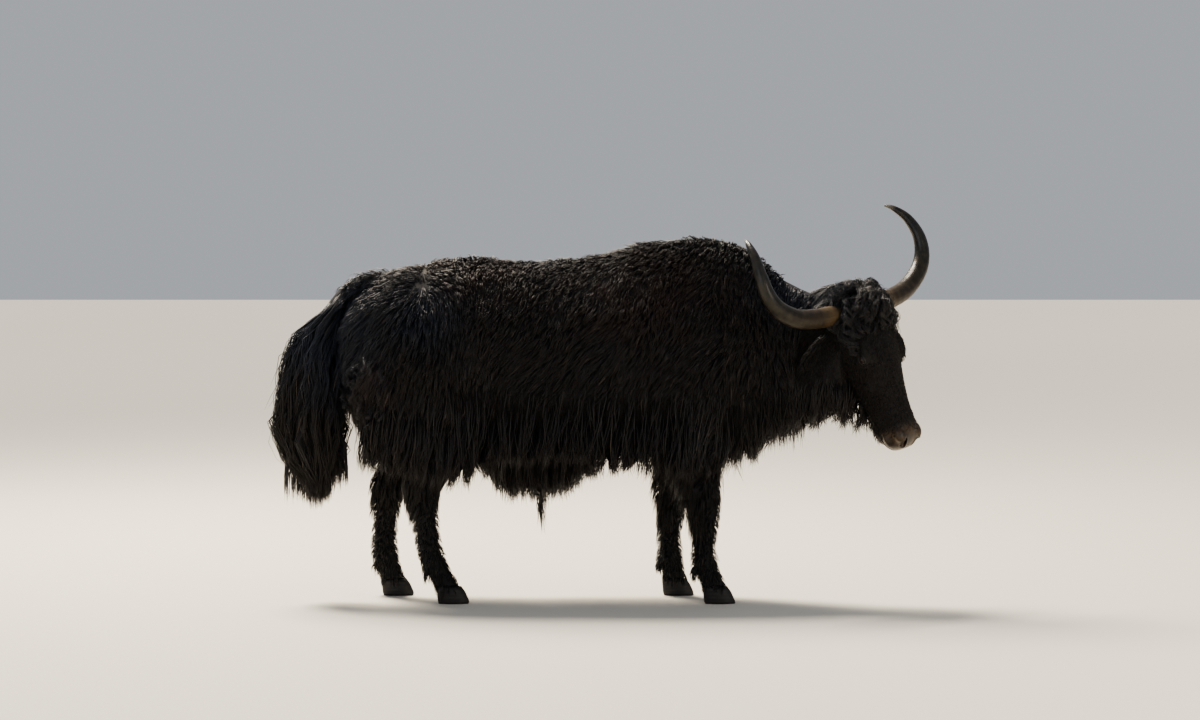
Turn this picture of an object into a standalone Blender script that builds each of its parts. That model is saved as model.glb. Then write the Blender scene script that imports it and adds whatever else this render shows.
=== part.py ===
"""A life-size yak bull, standing with its head lowered and turned to its right.

Metres, +Z up. The body faces +X and the yak's right side is -Y. The origin is
on the ground, under the middle of the whole animal's box.

The flesh is modelled whole from lofted sections, fused, smoothed and thinned,
then parted by thin cuts into the nodes that a person would name. The long coat
is added to each node as tapered locks that are fused into it at their roots.
"""

import math
import random

import bmesh
import bpy
from mathutils import Matrix, Vector
from mathutils.bvhtree import BVHTree

# Driving dimensions
BODY_Y = 0.082          # the trunk's middle plane, off centre because the head turns right
GAP = 0.0003            # clearance that touching nodes keep
FLESH_VOXEL = 0.0065    # grain of the fused flesh before it is thinned
FLESH_TRIANGLES = 2800  # triangles kept in the thinned flesh
HEAD_KEPT = 0.42        # how strongly the head resists thinning, and the legs
LEGS_KEPT = 0.40
COAT_CORE = 0.42        # how far towards the tips the long coat is one solid form
HOOF_TOP = 0.062        # height of the cut between leg and claws
CLEFT = 0.004           # width of the cleft between two claws
SEED = 11               # the locks' small differences
LONG_FROM = 0.335       # a lock longer than this bends twice
SINK = 0.026            # how deep a lock's root goes into the flesh
RIGHT, LEFT = -1, 1
NECK_BEND = -0.36       # how far the throat's middle goes to the right for each metre ahead

FRONT_CUT = 0.080       # x of the cut between barrel and shoulders
REAR_CUT = -0.430       # x of the cut between barrel and rump
LEG_CUT = 0.548         # height of the cut between trunk and legs
NECK_CUT = 0.635        # x of the cut between shoulders and neck

# Trunk sections: x, top, widest height, bottom, half width, upper and lower roundness
TRUNK = [
    (-0.948, 1.070, 0.950, 0.760, 0.105, 2.0, 2.0),
    (-0.915, 1.140, 0.950, 0.690, 0.170, 2.0, 2.0),
    (-0.845, 1.205, 0.930, 0.640, 0.215, 2.0, 2.2),
    (-0.760, 1.247, 0.920, 0.605, 0.258, 2.0, 2.2),
    (-0.620, 1.276, 0.920, 0.588, 0.280, 2.0, 2.3),
    (-0.460, 1.293, 0.920, 0.582, 0.288, 1.9, 2.3),
    (-0.300, 1.286, 0.900, 0.576, 0.300, 1.9, 2.3),
    (-0.140, 1.286, 0.880, 0.572, 0.312, 1.9, 2.3),
    (0.020, 1.313, 0.870, 0.572, 0.312, 1.8, 2.3),
    (0.160, 1.348, 0.870, 0.575, 0.300, 1.7, 2.3),
    (0.300, 1.368, 0.880, 0.582, 0.284, 1.6, 2.3),
    (0.420, 1.370, 0.890, 0.592, 0.258, 1.6, 2.2),
    (0.530, 1.338, 0.900, 0.604, 0.224, 1.7, 2.2),
    (0.620, 1.275, 0.920, 0.650, 0.176, 1.8, 2.2),
    (0.690, 1.190, 0.940, 0.730, 0.110, 2.0, 2.0),
]

# Neck sections: x, y from the middle plane, z, half height, half width
NECK = [
    (0.400, 0.000, 0.980, 0.355, 0.190),
    (0.540, -0.010, 0.962, 0.330, 0.170),
    (0.660, -0.038, 0.938, 0.292, 0.148),
    (0.770, -0.080, 0.925, 0.250, 0.130),
    (0.870, -0.130, 0.925, 0.222, 0.120),
    (0.920, -0.158, 0.940, 0.190, 0.100),
]

# Foreleg sections: z, how far x has gone from elbow to fetlock, lean, half length, half width
FORELEG = [
    (0.800, 0.00, 0.00, 0.105, 0.070),
    (0.680, 0.10, 0.00, 0.092, 0.068),
    (0.570, 0.35, 0.00, 0.073, 0.060),
    (0.450, 0.68, 0.00, 0.060, 0.052),
    (0.350, 0.90, 0.08, 0.055, 0.052),
    (0.300, 0.96, 0.02, 0.049, 0.047),
    (0.240, 1.00, 0.00, 0.040, 0.039),
    (0.180, 1.00, 0.00, 0.040, 0.041),
    (0.145, 1.00, 0.12, 0.046, 0.048),
    (0.100, 1.00, 0.55, 0.043, 0.047),
    (0.060, 1.00, 1.00, 0.050, 0.052),
    (0.030, 1.00, 1.20, 0.050, 0.052),
]
FORELEG_Y = (0.175, 0.140)   # from the middle plane, at the elbow and at the foot
FORE_ELBOW_X = {RIGHT: 0.360, LEFT: 0.345}
FORE_FETLOCK_X = {RIGHT: 0.385, LEFT: 0.262}
FORE_LEAN = {RIGHT: 0.040, LEFT: 0.020}

# Hind leg sections: z, x on the right, x on the left, half length, half width
HINDLEG = [
    (0.900, -0.660, -0.700, 0.185, 0.085),
    (0.740, -0.600, -0.665, 0.165, 0.082),
    (0.620, -0.585, -0.675, 0.118, 0.070),
    (0.520, -0.618, -0.728, 0.080, 0.055),
    (0.440, -0.655, -0.785, 0.066, 0.047),
    (0.390, -0.656, -0.797, 0.053, 0.044),
    (0.320, -0.648, -0.805, 0.044, 0.040),
    (0.250, -0.640, -0.812, 0.042, 0.038),
    (0.190, -0.628, -0.814, 0.043, 0.041),
    (0.150, -0.615, -0.810, 0.048, 0.048),
    (0.100, -0.588, -0.794, 0.044, 0.047),
    (0.060, -0.564, -0.780, 0.051, 0.052),
    (0.030, -0.556, -0.774, 0.051, 0.052),
]
FORE_HOOF_X = {RIGHT: 0.430, LEFT: 0.283}
HIND_HOOF_X = {RIGHT: -0.556, LEFT: -0.774}
HINDLEG_Y = (0.190, 0.140)
HIND_FETLOCK_X = {RIGHT: -0.600, LEFT: -0.800}

# Tail dock: x, z, half thickness, half width
TAIL = [
    (-0.780, 1.185, 0.048, 0.055),
    (-0.870, 1.180, 0.046, 0.050),
    (-0.955, 1.125, 0.048, 0.050),
    (-1.015, 1.020, 0.052, 0.054),
    (-1.048, 0.900, 0.055, 0.056),
    (-1.062, 0.770, 0.050, 0.050),
    (-1.066, 0.650, 0.036, 0.036),
]
TAIL_PLANE = -0.930     # x of the cut between rump and tail

# The tail's long coat: z, back edge, front edge, half width
TAIL_COAT = [
    (1.155, -1.006, -0.920, 0.040),
    (1.090, -1.082, -0.920, 0.075),
    (1.000, -1.154, -0.920, 0.102),
    (0.910, -1.196, -0.920, 0.118),
    (0.820, -1.216, -0.920, 0.126),
    (0.686, -1.243, -0.925, 0.130),
    (0.597, -1.238, -0.938, 0.120),
    (0.537, -1.206, -0.955, 0.104),
    (0.477, -1.166, -0.975, 0.080),
    (0.425, -1.106, -0.995, 0.050),
    (0.365, -1.054, -1.022, 0.014),
]
# The flank's hanging coat: x, tip height, half width of the body at the tips
SKIRT = [
    (-0.800, 0.470, 0.235),
    (-0.700, 0.440, 0.262),
    (-0.560, 0.440, 0.275),
    (-0.420, 0.505, 0.285),
    (-0.200, 0.500, 0.298),
    (0.050, 0.505, 0.298),
    (0.200, 0.485, 0.285),
    (0.360, 0.450, 0.262),
    (0.460, 0.480, 0.225),
]
# The belly's tuft on the middle line: x, tip height, half width at its root
TUFT = [
    (-0.400, 0.470, 0.030),
    (-0.360, 0.400, 0.060),
    (-0.290, 0.385, 0.075),
    (-0.200, 0.385, 0.075),
    (-0.120, 0.390, 0.065),
    (-0.070, 0.440, 0.030),
]
# The chest's and throat's coat: x, tip height, half width
THROAT = [
    (0.400, 0.520, 0.080),
    (0.480, 0.480, 0.110),
    (0.560, 0.540, 0.115),
    (0.660, 0.595, 0.105),
    (0.750, 0.660, 0.090),
    (0.830, 0.680, 0.070),
]

# Rows of flank locks: root height, lift of the tips, spacing, width
FLANK_ROWS = [
    (0.705, 0.000, 0.066, 0.088),
    (0.850, 0.120, 0.095, 0.108),
]
# Locks of the belly's tuft: x, place across, tip height
TUFT_LOCKS = [
    (-0.375, 0.010, 0.450), (-0.330, -0.045, 0.400), (-0.325, 0.050, 0.405),
    (-0.270, 0.000, 0.385), (-0.225, -0.020, 0.235), (-0.215, -0.062, 0.390),
    (-0.195, 0.030, 0.310), (-0.160, 0.055, 0.395), (-0.130, -0.040, 0.385),
    (-0.090, 0.010, 0.385),
]
# Locks behind the thighs: root x, place across, root height, tip x, tip height
BREECH_LOCKS = [
    (-0.860, 0.085, 0.850, -0.915, 0.640), (-0.850, 0.175, 0.830, -0.905, 0.600),
    (-0.840, 0.120, 0.720, -0.900, 0.530), (-0.800, 0.200, 0.700, -0.868, 0.485),
]
# Rows of tail locks: tip height, number, how far above its root lies, share of the outline
TAIL_ROWS = [
    (0.930, 5, 0.200, 0.98), (0.790, 6, 0.280, 1.00), (0.660, 7, 0.290, 1.00),
    (0.545, 6, 0.290, 0.98), (0.450, 5, 0.300, 0.88), (0.375, 2, 0.320, 0.70),
]
# Mane locks: x, height, fall, length back
NECK_MANE = [
    (0.860, 0.960, 0.150, 0.090), (0.775, 1.080, 0.150, 0.085), (0.765, 0.890, 0.160, 0.055),
    (0.695, 1.100, 0.170, 0.045), (0.690, 0.900, 0.170, 0.035),
]
CHEST_MANE = [
    (0.605, 1.130, 0.170, 0.060), (0.595, 0.940, 0.170, 0.050), (0.520, 0.900, 0.180, 0.045),
]
LEG_FRINGE = {
    "fore": [(0.515, 0.105, 0.075, -0.022), (0.500, 0.105, 0.070, 0.022),
             (0.430, 0.110, 0.050, 0.000)],
    "hind": [(0.520, 0.110, 0.030, -0.020), (0.505, 0.110, 0.030, 0.020)],
}

# The head's own frame: it is turned, pitched down and tilted about the poll
POLL = Vector((0.940, -0.140 + BODY_Y, 1.108))
HEAD_TURN = math.radians(-43)
HEAD_PITCH = math.radians(71)
HEAD_TILT = math.radians(8.4)

# Skull sections: distance from the poll, top, widest height, bottom, half width, roundness
SKULL = [
    (-0.090, 0.020, -0.070, -0.160, 0.080, 2.0, 2.0),
    (-0.050, 0.048, -0.060, -0.195, 0.106, 2.2, 2.2),
    (0.000, 0.070, -0.035, -0.205, 0.119, 2.4, 2.2),
    (0.060, 0.084, -0.015, -0.205, 0.124, 2.5, 2.2),
    (0.130, 0.092, 0.000, -0.198, 0.119, 2.5, 2.0),
    (0.200, 0.090, 0.006, -0.180, 0.108, 2.4, 2.0),
    (0.270, 0.081, 0.006, -0.152, 0.090, 2.2, 2.0),
    (0.340, 0.073, 0.002, -0.122, 0.075, 2.2, 2.0),
    (0.400, 0.069, 0.000, -0.100, 0.066, 2.2, 2.1),
    (0.450, 0.069, -0.004, -0.087, 0.064, 2.3, 2.2),
    (0.495, 0.065, -0.004, -0.080, 0.068, 2.4, 2.3),
    (0.530, 0.051, -0.006, -0.071, 0.064, 2.4, 2.3),
    (0.552, 0.030, -0.008, -0.054, 0.049, 2.3, 2.3),
    (0.562, 0.008, -0.010, -0.034, 0.024, 2.0, 2.0),
]
# Masses on the skull: centre (along, side, up) and radii, mirrored to both sides
SKULL_MASSES = [
    ((0.190, 0.086, 0.060), (0.056, 0.029, 0.024)),   # brow
    ((0.120, 0.070, -0.105), (0.100, 0.042, 0.085)),  # cheek
    ((0.275, 0.066, 0.000), (0.075, 0.024, 0.022)),   # face crest
    ((0.512, 0.046, 0.034), (0.032, 0.025, 0.022)),   # wing of the nostril
    ((0.505, 0.040, -0.022), (0.046, 0.031, 0.026)),  # upper lip
    ((0.478, 0.020, -0.072), (0.050, 0.034, 0.024)),  # chin
    ((0.000, 0.105, -0.010), (0.048, 0.035, 0.042)),  # horn boss
]
EYE = Vector((0.208, 0.103, 0.042))
EYE_RADIUS = 0.0190
FORELOCK = ((0.040, 0.000, 0.048), (0.122, 0.128, 0.064))
LID_LONG, LID_HIGH, LID_ROUND = 0.0225, 0.0135, 0.0048
LID_STAND = 0.0125
MOUTH_MIDDLE = (0.490, 0.000, -0.044)
NOSTRIL = Vector((0.544, 0.036, 0.026))
EAR_ROOT = Vector((0.082, 0.110, -0.074))
EAR_LENGTH = 0.165
EAR_SINK = 0.024
# Ear sections: share of the length, half width, depth of the cup, thickness
EAR = [
    (0.00, 0.026, 0.018, 0.030),
    (0.18, 0.030, 0.020, 0.026),
    (0.36, 0.040, 0.024, 0.016),
    (0.56, 0.043, 0.022, 0.012),
    (0.76, 0.034, 0.015, 0.010),
    (0.92, 0.018, 0.006, 0.008),
    (1.00, 0.007, 0.002, 0.005),
]

# Horn centre line in the upright turned frame: side, forward, up, radius
HORN = [
    (0.098, 0.002, -0.020, 0.0365),
    (0.150, 0.000, -0.018, 0.0370),
    (0.224, -0.004, -0.0145, 0.0370),
    (0.322, -0.012, 0.004, 0.0355),
    (0.410, -0.018, 0.054, 0.0325),
    (0.452, -0.026, 0.116, 0.0285),
    (0.460, -0.042, 0.184, 0.0235),
    (0.445, -0.076, 0.250, 0.0175),
    (0.422, -0.120, 0.291, 0.0105),
    (0.404, -0.148, 0.304, 0.0040),
]


# Sections of a lock: share of its length, share of its width
SHORT_LOCK = ((0.0, 0.58), (0.52, 1.00), (1.0, 0.12))
LONG_LOCK = ((0.0, 0.55), (0.38, 1.00), (0.72, 0.72), (1.0, 0.10))


def clear_scene():
    for obj in list(bpy.data.objects):
        bpy.data.objects.remove(obj)


def material(name, colour, roughness):
    made = bpy.data.materials.new(name)
    made.use_nodes = True
    shader = made.node_tree.nodes["Principled BSDF"]
    shader.inputs["Base Color"].default_value = (*colour, 1.0)
    shader.inputs["Roughness"].default_value = roughness
    shader.inputs["Metallic"].default_value = 0.0
    return made


def through(rows, steps):
    """Points on a smooth curve through the rows, `steps` to each stretch between two rows."""
    ends = [rows[0], *rows, rows[-1]]
    found = []
    for i in range(len(rows) - 1):
        a, b, c, d = ends[i], ends[i + 1], ends[i + 2], ends[i + 3]
        for k in range(steps):
            t = k / steps
            found.append(tuple(
                0.5 * (2 * q + (r - p) * t + (2 * p - 5 * q + 4 * r - s) * t * t
                       + (3 * q - p - 3 * r + s) * t ** 3)
                for p, q, r, s in zip(a, b, c, d)
            ))
    found.append(tuple(rows[-1]))
    return found


def object_of(name, points, faces):
    mesh = bpy.data.meshes.new(name)
    mesh.from_pydata([tuple(p) for p in points], [], faces)
    obj = bpy.data.objects.new(name, mesh)
    bpy.context.collection.objects.link(obj)
    return obj


def closed_loft(rings):
    """Points and faces of a skin over rings of equal count, with a flat cap at each end."""
    count = len(rings[0])
    points = [p for ring in rings for p in ring]
    faces = []
    for i in range(len(rings) - 1):
        for k in range(count):
            a, b = i * count + k, i * count + (k + 1) % count
            faces.append((a, b, b + count))
            faces.append((a, b + count, a + count))
    faces.append(tuple(range(count))[::-1])
    last = (len(rings) - 1) * count
    faces.append(tuple(range(last, last + count)))
    return points, faces


def outward(obj):
    """Turns every face of a closed object outwards."""
    mesh = bmesh.new()
    mesh.from_mesh(obj.data)
    bmesh.ops.recalc_face_normals(mesh, faces=mesh.faces[:])
    if mesh.calc_volume(signed=True) < 0:
        bmesh.ops.reverse_faces(mesh, faces=mesh.faces[:])
    mesh.to_mesh(obj.data)
    mesh.free()
    return obj


def loft(name, rings):
    return outward(object_of(name, *closed_loft(rings)))


def rounded(angle, power):
    """Cosine and sine bent so that |x|^power + |y|^power = 1."""
    c, s = math.cos(angle), math.sin(angle)
    return (math.copysign(abs(c) ** (2 / power), c), math.copysign(abs(s) ** (2 / power), s))


def section(top, middle, bottom, half_width, upper, lower, count):
    """(side, height) pairs round a section that is widest at the height `middle`."""
    found = []
    for k in range(count):
        angle = 2 * math.pi * k / count
        power = upper if math.sin(angle) >= 0 else lower
        across, up = rounded(angle, power)
        reach = top - middle if up >= 0 else middle - bottom
        found.append((half_width * across, middle + reach * up))
    return found


def trunk():
    rings = []
    for x, top, middle, bottom, wide, upper, lower in through(TRUNK, 3):
        rings.append([
            Vector((x, BODY_Y + side, up))
            for side, up in section(top, middle, bottom, wide, upper, lower, 36)
        ])
    return loft("trunk", rings)


def swept(name, path, half_sizes, count=20, up=Vector((0, 0, 1)), power=2.0):
    """A loft along a path, with (half height along up, half width) at each point."""
    rings = []
    for i, centre in enumerate(path):
        ahead = path[min(i + 1, len(path) - 1)] - path[max(i - 1, 0)]
        ahead.normalize()
        side = ahead.cross(up)
        side.normalize()
        rise = side.cross(ahead)
        high, wide = half_sizes[i]
        ring = []
        for k in range(count):
            across, along = rounded(2 * math.pi * k / count, power)
            ring.append(centre + side * (wide * across) + rise * (high * along))
        rings.append(ring)
    return loft(name, rings)


def neck():
    rows = through(NECK, 3)
    path = [Vector((x, BODY_Y + y, z)) for x, y, z, high, wide in rows]
    flat = [Vector((p.x, p.y, 0)) for p in path]
    rings = []
    for i, (x, y, z, high, wide) in enumerate(rows):
        ahead = flat[min(i + 1, len(flat) - 1)] - flat[max(i - 1, 0)]
        side = ahead.normalized().cross(Vector((0, 0, 1)))
        rings.append([
            path[i] + side * across + Vector((0, 0, up))
            for across, up in section(high, -0.25 * high, -high, wide, 1.7, 2.0, 28)
        ])
    return loft("neck_flesh", rings)


def ellipsoid(name, centre, radii, turn=None, segments=16):
    mesh = bpy.data.meshes.new(name)
    ball = bmesh.new()
    bmesh.ops.create_uvsphere(ball, u_segments=segments, v_segments=segments // 2, radius=1.0)
    place = Matrix.Translation(centre)
    if turn is not None:
        place = place @ turn.to_4x4()
    bmesh.ops.transform(ball, matrix=place @ Matrix.Diagonal((*radii, 1.0)), verts=ball.verts)
    ball.to_mesh(mesh)
    ball.free()
    obj = bpy.data.objects.new(name, mesh)
    bpy.context.collection.objects.link(obj)
    return obj


def foreleg_path(side):
    rows = []
    for z, share, lean, long, wide in through(FORELEG, 3):
        x = FORE_ELBOW_X[side] + (FORE_FETLOCK_X[side] - FORE_ELBOW_X[side]) * share
        x += FORE_LEAN[side] * lean
        y = FORELEG_Y[0] + (FORELEG_Y[1] - FORELEG_Y[0]) * share
        rows.append((Vector((x, BODY_Y + side * y, z)), long, wide))
    return rows


def hindleg_path(side):
    top, foot = HINDLEG[0][0], HINDLEG[-1][0]
    rows = []
    for z, right_x, left_x, long, wide in through(HINDLEG, 3):
        share = min(1.0, (top - z) / (top - foot) * 1.6)
        y = HINDLEG_Y[0] + (HINDLEG_Y[1] - HINDLEG_Y[0]) * share
        x = right_x if side == RIGHT else left_x
        rows.append((Vector((x, BODY_Y + side * y, z)), long, wide))
    return rows


def limb(name, rows):
    """A leg as level rings, longer fore and aft than across."""
    rings = []
    for centre, long, wide in rows:
        ring = []
        for k in range(20):
            along, across = rounded(2 * math.pi * k / 20, 2.1)
            ring.append(centre + Vector((long * along, wide * across, 0)))
        rings.append(ring)
    return loft(name, rings)


def tail_core():
    rows = through(TAIL, 3)
    path = [Vector((x, BODY_Y, z)) for x, z, thick, wide in rows]
    sizes = [(thick, wide) for x, z, thick, wide in rows]
    return swept("tail_flesh", path, sizes, count=16, up=Vector((-0.5, 0, 0.8)))


def head_axes():
    """The head's own axes in the world: along the face, to its left, and up from the face."""
    ahead = Vector((math.cos(HEAD_TURN), math.sin(HEAD_TURN), 0))
    left = Vector((-math.sin(HEAD_TURN), math.cos(HEAD_TURN), 0))
    up = Vector((0, 0, 1))
    left, up = (left * math.cos(HEAD_TILT) + up * math.sin(HEAD_TILT),
                up * math.cos(HEAD_TILT) - left * math.sin(HEAD_TILT))
    along = ahead * math.cos(HEAD_PITCH) - up * math.sin(HEAD_PITCH)
    raised = ahead * math.sin(HEAD_PITCH) + up * math.cos(HEAD_PITCH)
    return along, left, raised, ahead, up


ALONG, SIDEWAYS, RAISED, AHEAD, UPRIGHT = head_axes()
HEAD_TURNED = Matrix((ALONG, SIDEWAYS, RAISED)).transposed()


def on_head(along, side, up):
    """A point of the head's own frame in the world."""
    return POLL + ALONG * along + SIDEWAYS * side + RAISED * up


def skull():
    rings = []
    for along, top, middle, bottom, wide, upper, lower in through(SKULL, 3):
        rings.append([
            on_head(along, side, up)
            for side, up in section(top, middle, bottom, wide, upper, lower, 32)
        ])
    pieces = [loft("skull", rings)]
    for number, (centre, radii) in enumerate(SKULL_MASSES):
        for side in (RIGHT, LEFT):
            place = on_head(centre[0], side * centre[1], centre[2])
            pieces.append(ellipsoid(f"mass_{number}_{side}", place, radii, HEAD_TURNED))
    return pieces


def trunk_masses():
    """Muscle that stands out from the trunk: shoulders, thighs and brisket."""
    pieces = []
    for side in (RIGHT, LEFT):
        pieces.append(ellipsoid(f"shoulder_{side}", (0.350, BODY_Y + side * 0.190, 0.860),
                                (0.170, 0.085, 0.270)))
        pieces.append(ellipsoid(f"thigh_{side}", (-0.700, BODY_Y + side * 0.185, 0.840),
                                (0.205, 0.090, 0.250)))
    pieces.append(ellipsoid("brisket", (0.520, BODY_Y, 0.690), (0.130, 0.130, 0.125)))
    return pieces


def tail_brush():
    """The tail's long coat as one form that reaches COAT_CORE of the way to its tips."""
    rings = []
    top, end = TAIL_COAT[0][0], TAIL_COAT[-1][0]
    lowest = top + (end - top) * (COAT_CORE + 0.15)
    for z, back, front, wide in through(TAIL_COAT, 2):
        if z < lowest:
            break
        middle = (back + front) / 2
        long = (front - back) / 2
        rings.append([
            Vector((middle + long * COAT_CORE * along, BODY_Y + wide * COAT_CORE * across, z))
            for along, across in (rounded(2 * math.pi * k / 20, 2.0) for k in range(20))
        ])
    return loft("tail_brush", rings)


def hanging(name, rows, y_of, root_of, thick):
    """A wedge of coat along x: from root heights down to its tips, `thick` at the root."""
    rings = []
    for row in rows:
        x, tip, wide = row
        y, root = y_of(row), root_of(row)
        low = root + (tip - root) * COAT_CORE
        half = thick(row)
        rings.append([
            Vector((x, y + across * share, z))
            for across, z, share in (
                (-half, root, 1.0), (-half, (root + low) / 2, 0.8), (-half, low, 0.25),
                (half, low, 0.25), (half, (root + low) / 2, 0.8), (half, root, 1.0),
            )
        ])
    return loft(name, rings)


def long_coat():
    """The hanging coat's solid forms."""
    pieces = [tail_brush()]
    for side in (RIGHT, LEFT):
        rows = through(SKIRT, 2)
        pieces.append(hanging(
            f"skirt_{side}", rows, lambda row: BODY_Y + side * (row[2] - 0.045),
            lambda row: 0.780, lambda row: 0.040,
        ))
    for name, table in (("tuft", TUFT), ("throat", THROAT)):
        pieces.append(hanging(
            name, through(table, 2), lambda row: BODY_Y + NECK_BEND * max(0.0, row[0] - 0.55),
            lambda row: 0.700 if name == "tuft" else 0.760, lambda row: row[2],
        ))
    centre, radii = FORELOCK
    pieces.append(ellipsoid("forelock", on_head(*centre), radii, HEAD_TURNED))
    return pieces


def joined(pieces, name):
    """One object that holds every piece's mesh."""
    mesh = bmesh.new()
    for piece in pieces:
        mesh.from_mesh(piece.data)
        bpy.data.objects.remove(piece)
    data = bpy.data.meshes.new(name)
    mesh.to_mesh(data)
    mesh.free()
    obj = bpy.data.objects.new(name, data)
    bpy.context.collection.objects.link(obj)
    return obj


def applied(obj):
    """The object with its modifiers made part of its mesh."""
    graph = bpy.context.evaluated_depsgraph_get()
    made = bpy.data.meshes.new_from_object(obj.evaluated_get(graph))
    obj.modifiers.clear()
    obj.data = made
    return obj


def flesh():
    """The whole animal's flesh and short coat as one closed surface."""
    pieces = [trunk(), neck(), tail_core(), *trunk_masses(), *skull(), *long_coat()]
    for side in (RIGHT, LEFT):
        pieces.append(limb(f"foreleg_{side}", foreleg_path(side)))
        pieces.append(limb(f"hindleg_{side}", hindleg_path(side)))
        for pastern in (FORE_FETLOCK_X[side] + 0.005, HIND_FETLOCK_X[side]):
            for off in (-0.021, 0.021):
                place = (pastern - 0.044, BODY_Y + side * FORELEG_Y[1] + off, 0.118)
                pieces.append(ellipsoid("dewclaw", place, (0.014, 0.012, 0.020)))
    whole = joined(pieces, "flesh")
    fuse = whole.modifiers.new("fuse", "REMESH")
    fuse.mode = "VOXEL"
    fuse.voxel_size = FLESH_VOXEL
    applied(whole)
    blend = whole.modifiers.new("blend", "SMOOTH")
    blend.factor = 0.5
    blend.iterations = 14
    applied(whole)
    share = whole.vertex_groups.new(name="body")
    for vertex in whole.data.vertices:
        point, way = head_cut()
        kept_share = 0.0
        if (vertex.co - point).dot(way) > 0:
            kept_share = HEAD_KEPT
        elif vertex.co.z < LEG_CUT:
            kept_share = LEGS_KEPT
        share.add([vertex.index], 1.0 - kept_share, "REPLACE")
    thin = whole.modifiers.new("thin", "DECIMATE")
    thin.ratio = FLESH_TRIANGLES / (2 * len(whole.data.polygons))
    thin.vertex_group = "body"
    thin.vertex_group_factor = 1.0
    applied(whole)
    return whole


def keep_one_surface(mesh, near=None):
    """Deletes all but the largest closed surface, or the one whose middle is nearest a point."""
    left = set(mesh.verts)
    surfaces = []
    while left:
        reached, waiting = set(), [next(iter(left))]
        while waiting:
            vert = waiting.pop()
            if vert not in reached:
                reached.add(vert)
                waiting.extend(edge.other_vert(vert) for edge in vert.link_edges)
        left -= reached
        surfaces.append(reached)
    if not surfaces:
        return

    def away(surface):
        return (sum((v.co for v in surface), Vector()) / len(surface) - near).length

    best = max(surfaces, key=len) if near is None else min(surfaces, key=away)
    bmesh.ops.delete(mesh, geom=[v for v in mesh.verts if v not in best], context="VERTS")


def halved(mesh, planes, inset=GAP / 2):
    """Cuts a closed mesh `inset` inside planes (point, direction kept) and closes each cut."""
    for point, direction in planes:
        cut = bmesh.ops.bisect_plane(
            mesh, geom=mesh.verts[:] + mesh.edges[:] + mesh.faces[:], dist=1e-7,
            plane_co=point + direction * inset, plane_no=direction, clear_inner=True,
        )
        rim = [e for e in cut["geom_cut"] if isinstance(e, bmesh.types.BMEdge)]
        bmesh.ops.holes_fill(mesh, edges=rim, sides=0)
    bmesh.ops.triangulate(mesh, faces=[f for f in mesh.faces if len(f.verts) > 4])


def kept(source, name, planes, near=None):
    """A copy of the flesh cut by planes; near picks one of several surfaces."""
    mesh = bmesh.new()
    mesh.from_mesh(source.data)
    halved(mesh, planes)
    keep_one_surface(mesh, near)
    data = bpy.data.meshes.new(name)
    mesh.to_mesh(data)
    mesh.free()
    obj = bpy.data.objects.new(name, data)
    bpy.context.collection.objects.link(obj)
    return outward(obj)


def cut_away(obj, cutter):
    """Takes a cutter out of an object and removes the cutter."""
    change = obj.modifiers.new("cut", "BOOLEAN")
    change.operation = "DIFFERENCE"
    change.solver = "EXACT"
    change.object = cutter
    applied(obj)
    bpy.data.objects.remove(cutter)
    return cleaned(obj)


def cleaned(obj):
    """Keeps the largest closed surface of an object, without faces of no size."""
    mesh = bmesh.new()
    mesh.from_mesh(obj.data)
    bmesh.ops.triangulate(mesh, faces=[f for f in mesh.faces if len(f.verts) > 3])
    keep_one_surface(mesh)
    mesh.to_mesh(obj.data)
    mesh.free()
    return obj


def fused(obj, pieces):
    """Adds pieces to an object in one union and keeps only the largest closed surface."""
    if not pieces:
        return obj
    group = bpy.data.collections.new("pieces")
    bpy.context.scene.collection.children.link(group)
    for piece in pieces:
        for owner in list(piece.users_collection):
            owner.objects.unlink(piece)
        group.objects.link(piece)
    change = obj.modifiers.new("join", "BOOLEAN")
    change.operation = "UNION"
    change.solver = "EXACT"
    change.operand_type = "COLLECTION"
    change.collection = group
    applied(obj)
    for piece in pieces:
        bpy.data.objects.remove(piece)
    bpy.data.collections.remove(group)
    return cleaned(obj)


def in_upright(side, forward, up, mirror):
    """A point of the poll's turned but unpitched frame in the world."""
    across = UPRIGHT.cross(AHEAD)
    return POLL + across * (side * mirror) + AHEAD * forward + UPRIGHT * up


def horn(name, mirror, grown=0.0, rows=None):
    """A horn as round rings along its centre line; `grown` thickens it for its socket."""
    found = through(rows or HORN, 2)
    path = [in_upright(side, forward, up, mirror) for side, forward, up, radius in found]
    path[0] += (path[0] - path[1]).normalized() * (2 * grown)
    rings = []
    rise = Vector((0.3, -0.3, 0.9))
    for i, centre in enumerate(path):
        ahead = (path[min(i + 1, len(path) - 1)] - path[max(i - 1, 0)]).normalized()
        side = ahead.cross(rise).normalized()
        rise = side.cross(ahead).normalized()
        radius = found[i][3] + grown
        rings.append([
            centre + side * (radius * math.cos(2 * math.pi * k / 10))
            + rise * (radius * math.sin(2 * math.pi * k / 10))
            for k in range(10)
        ])
    return loft(name, rings)


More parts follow.
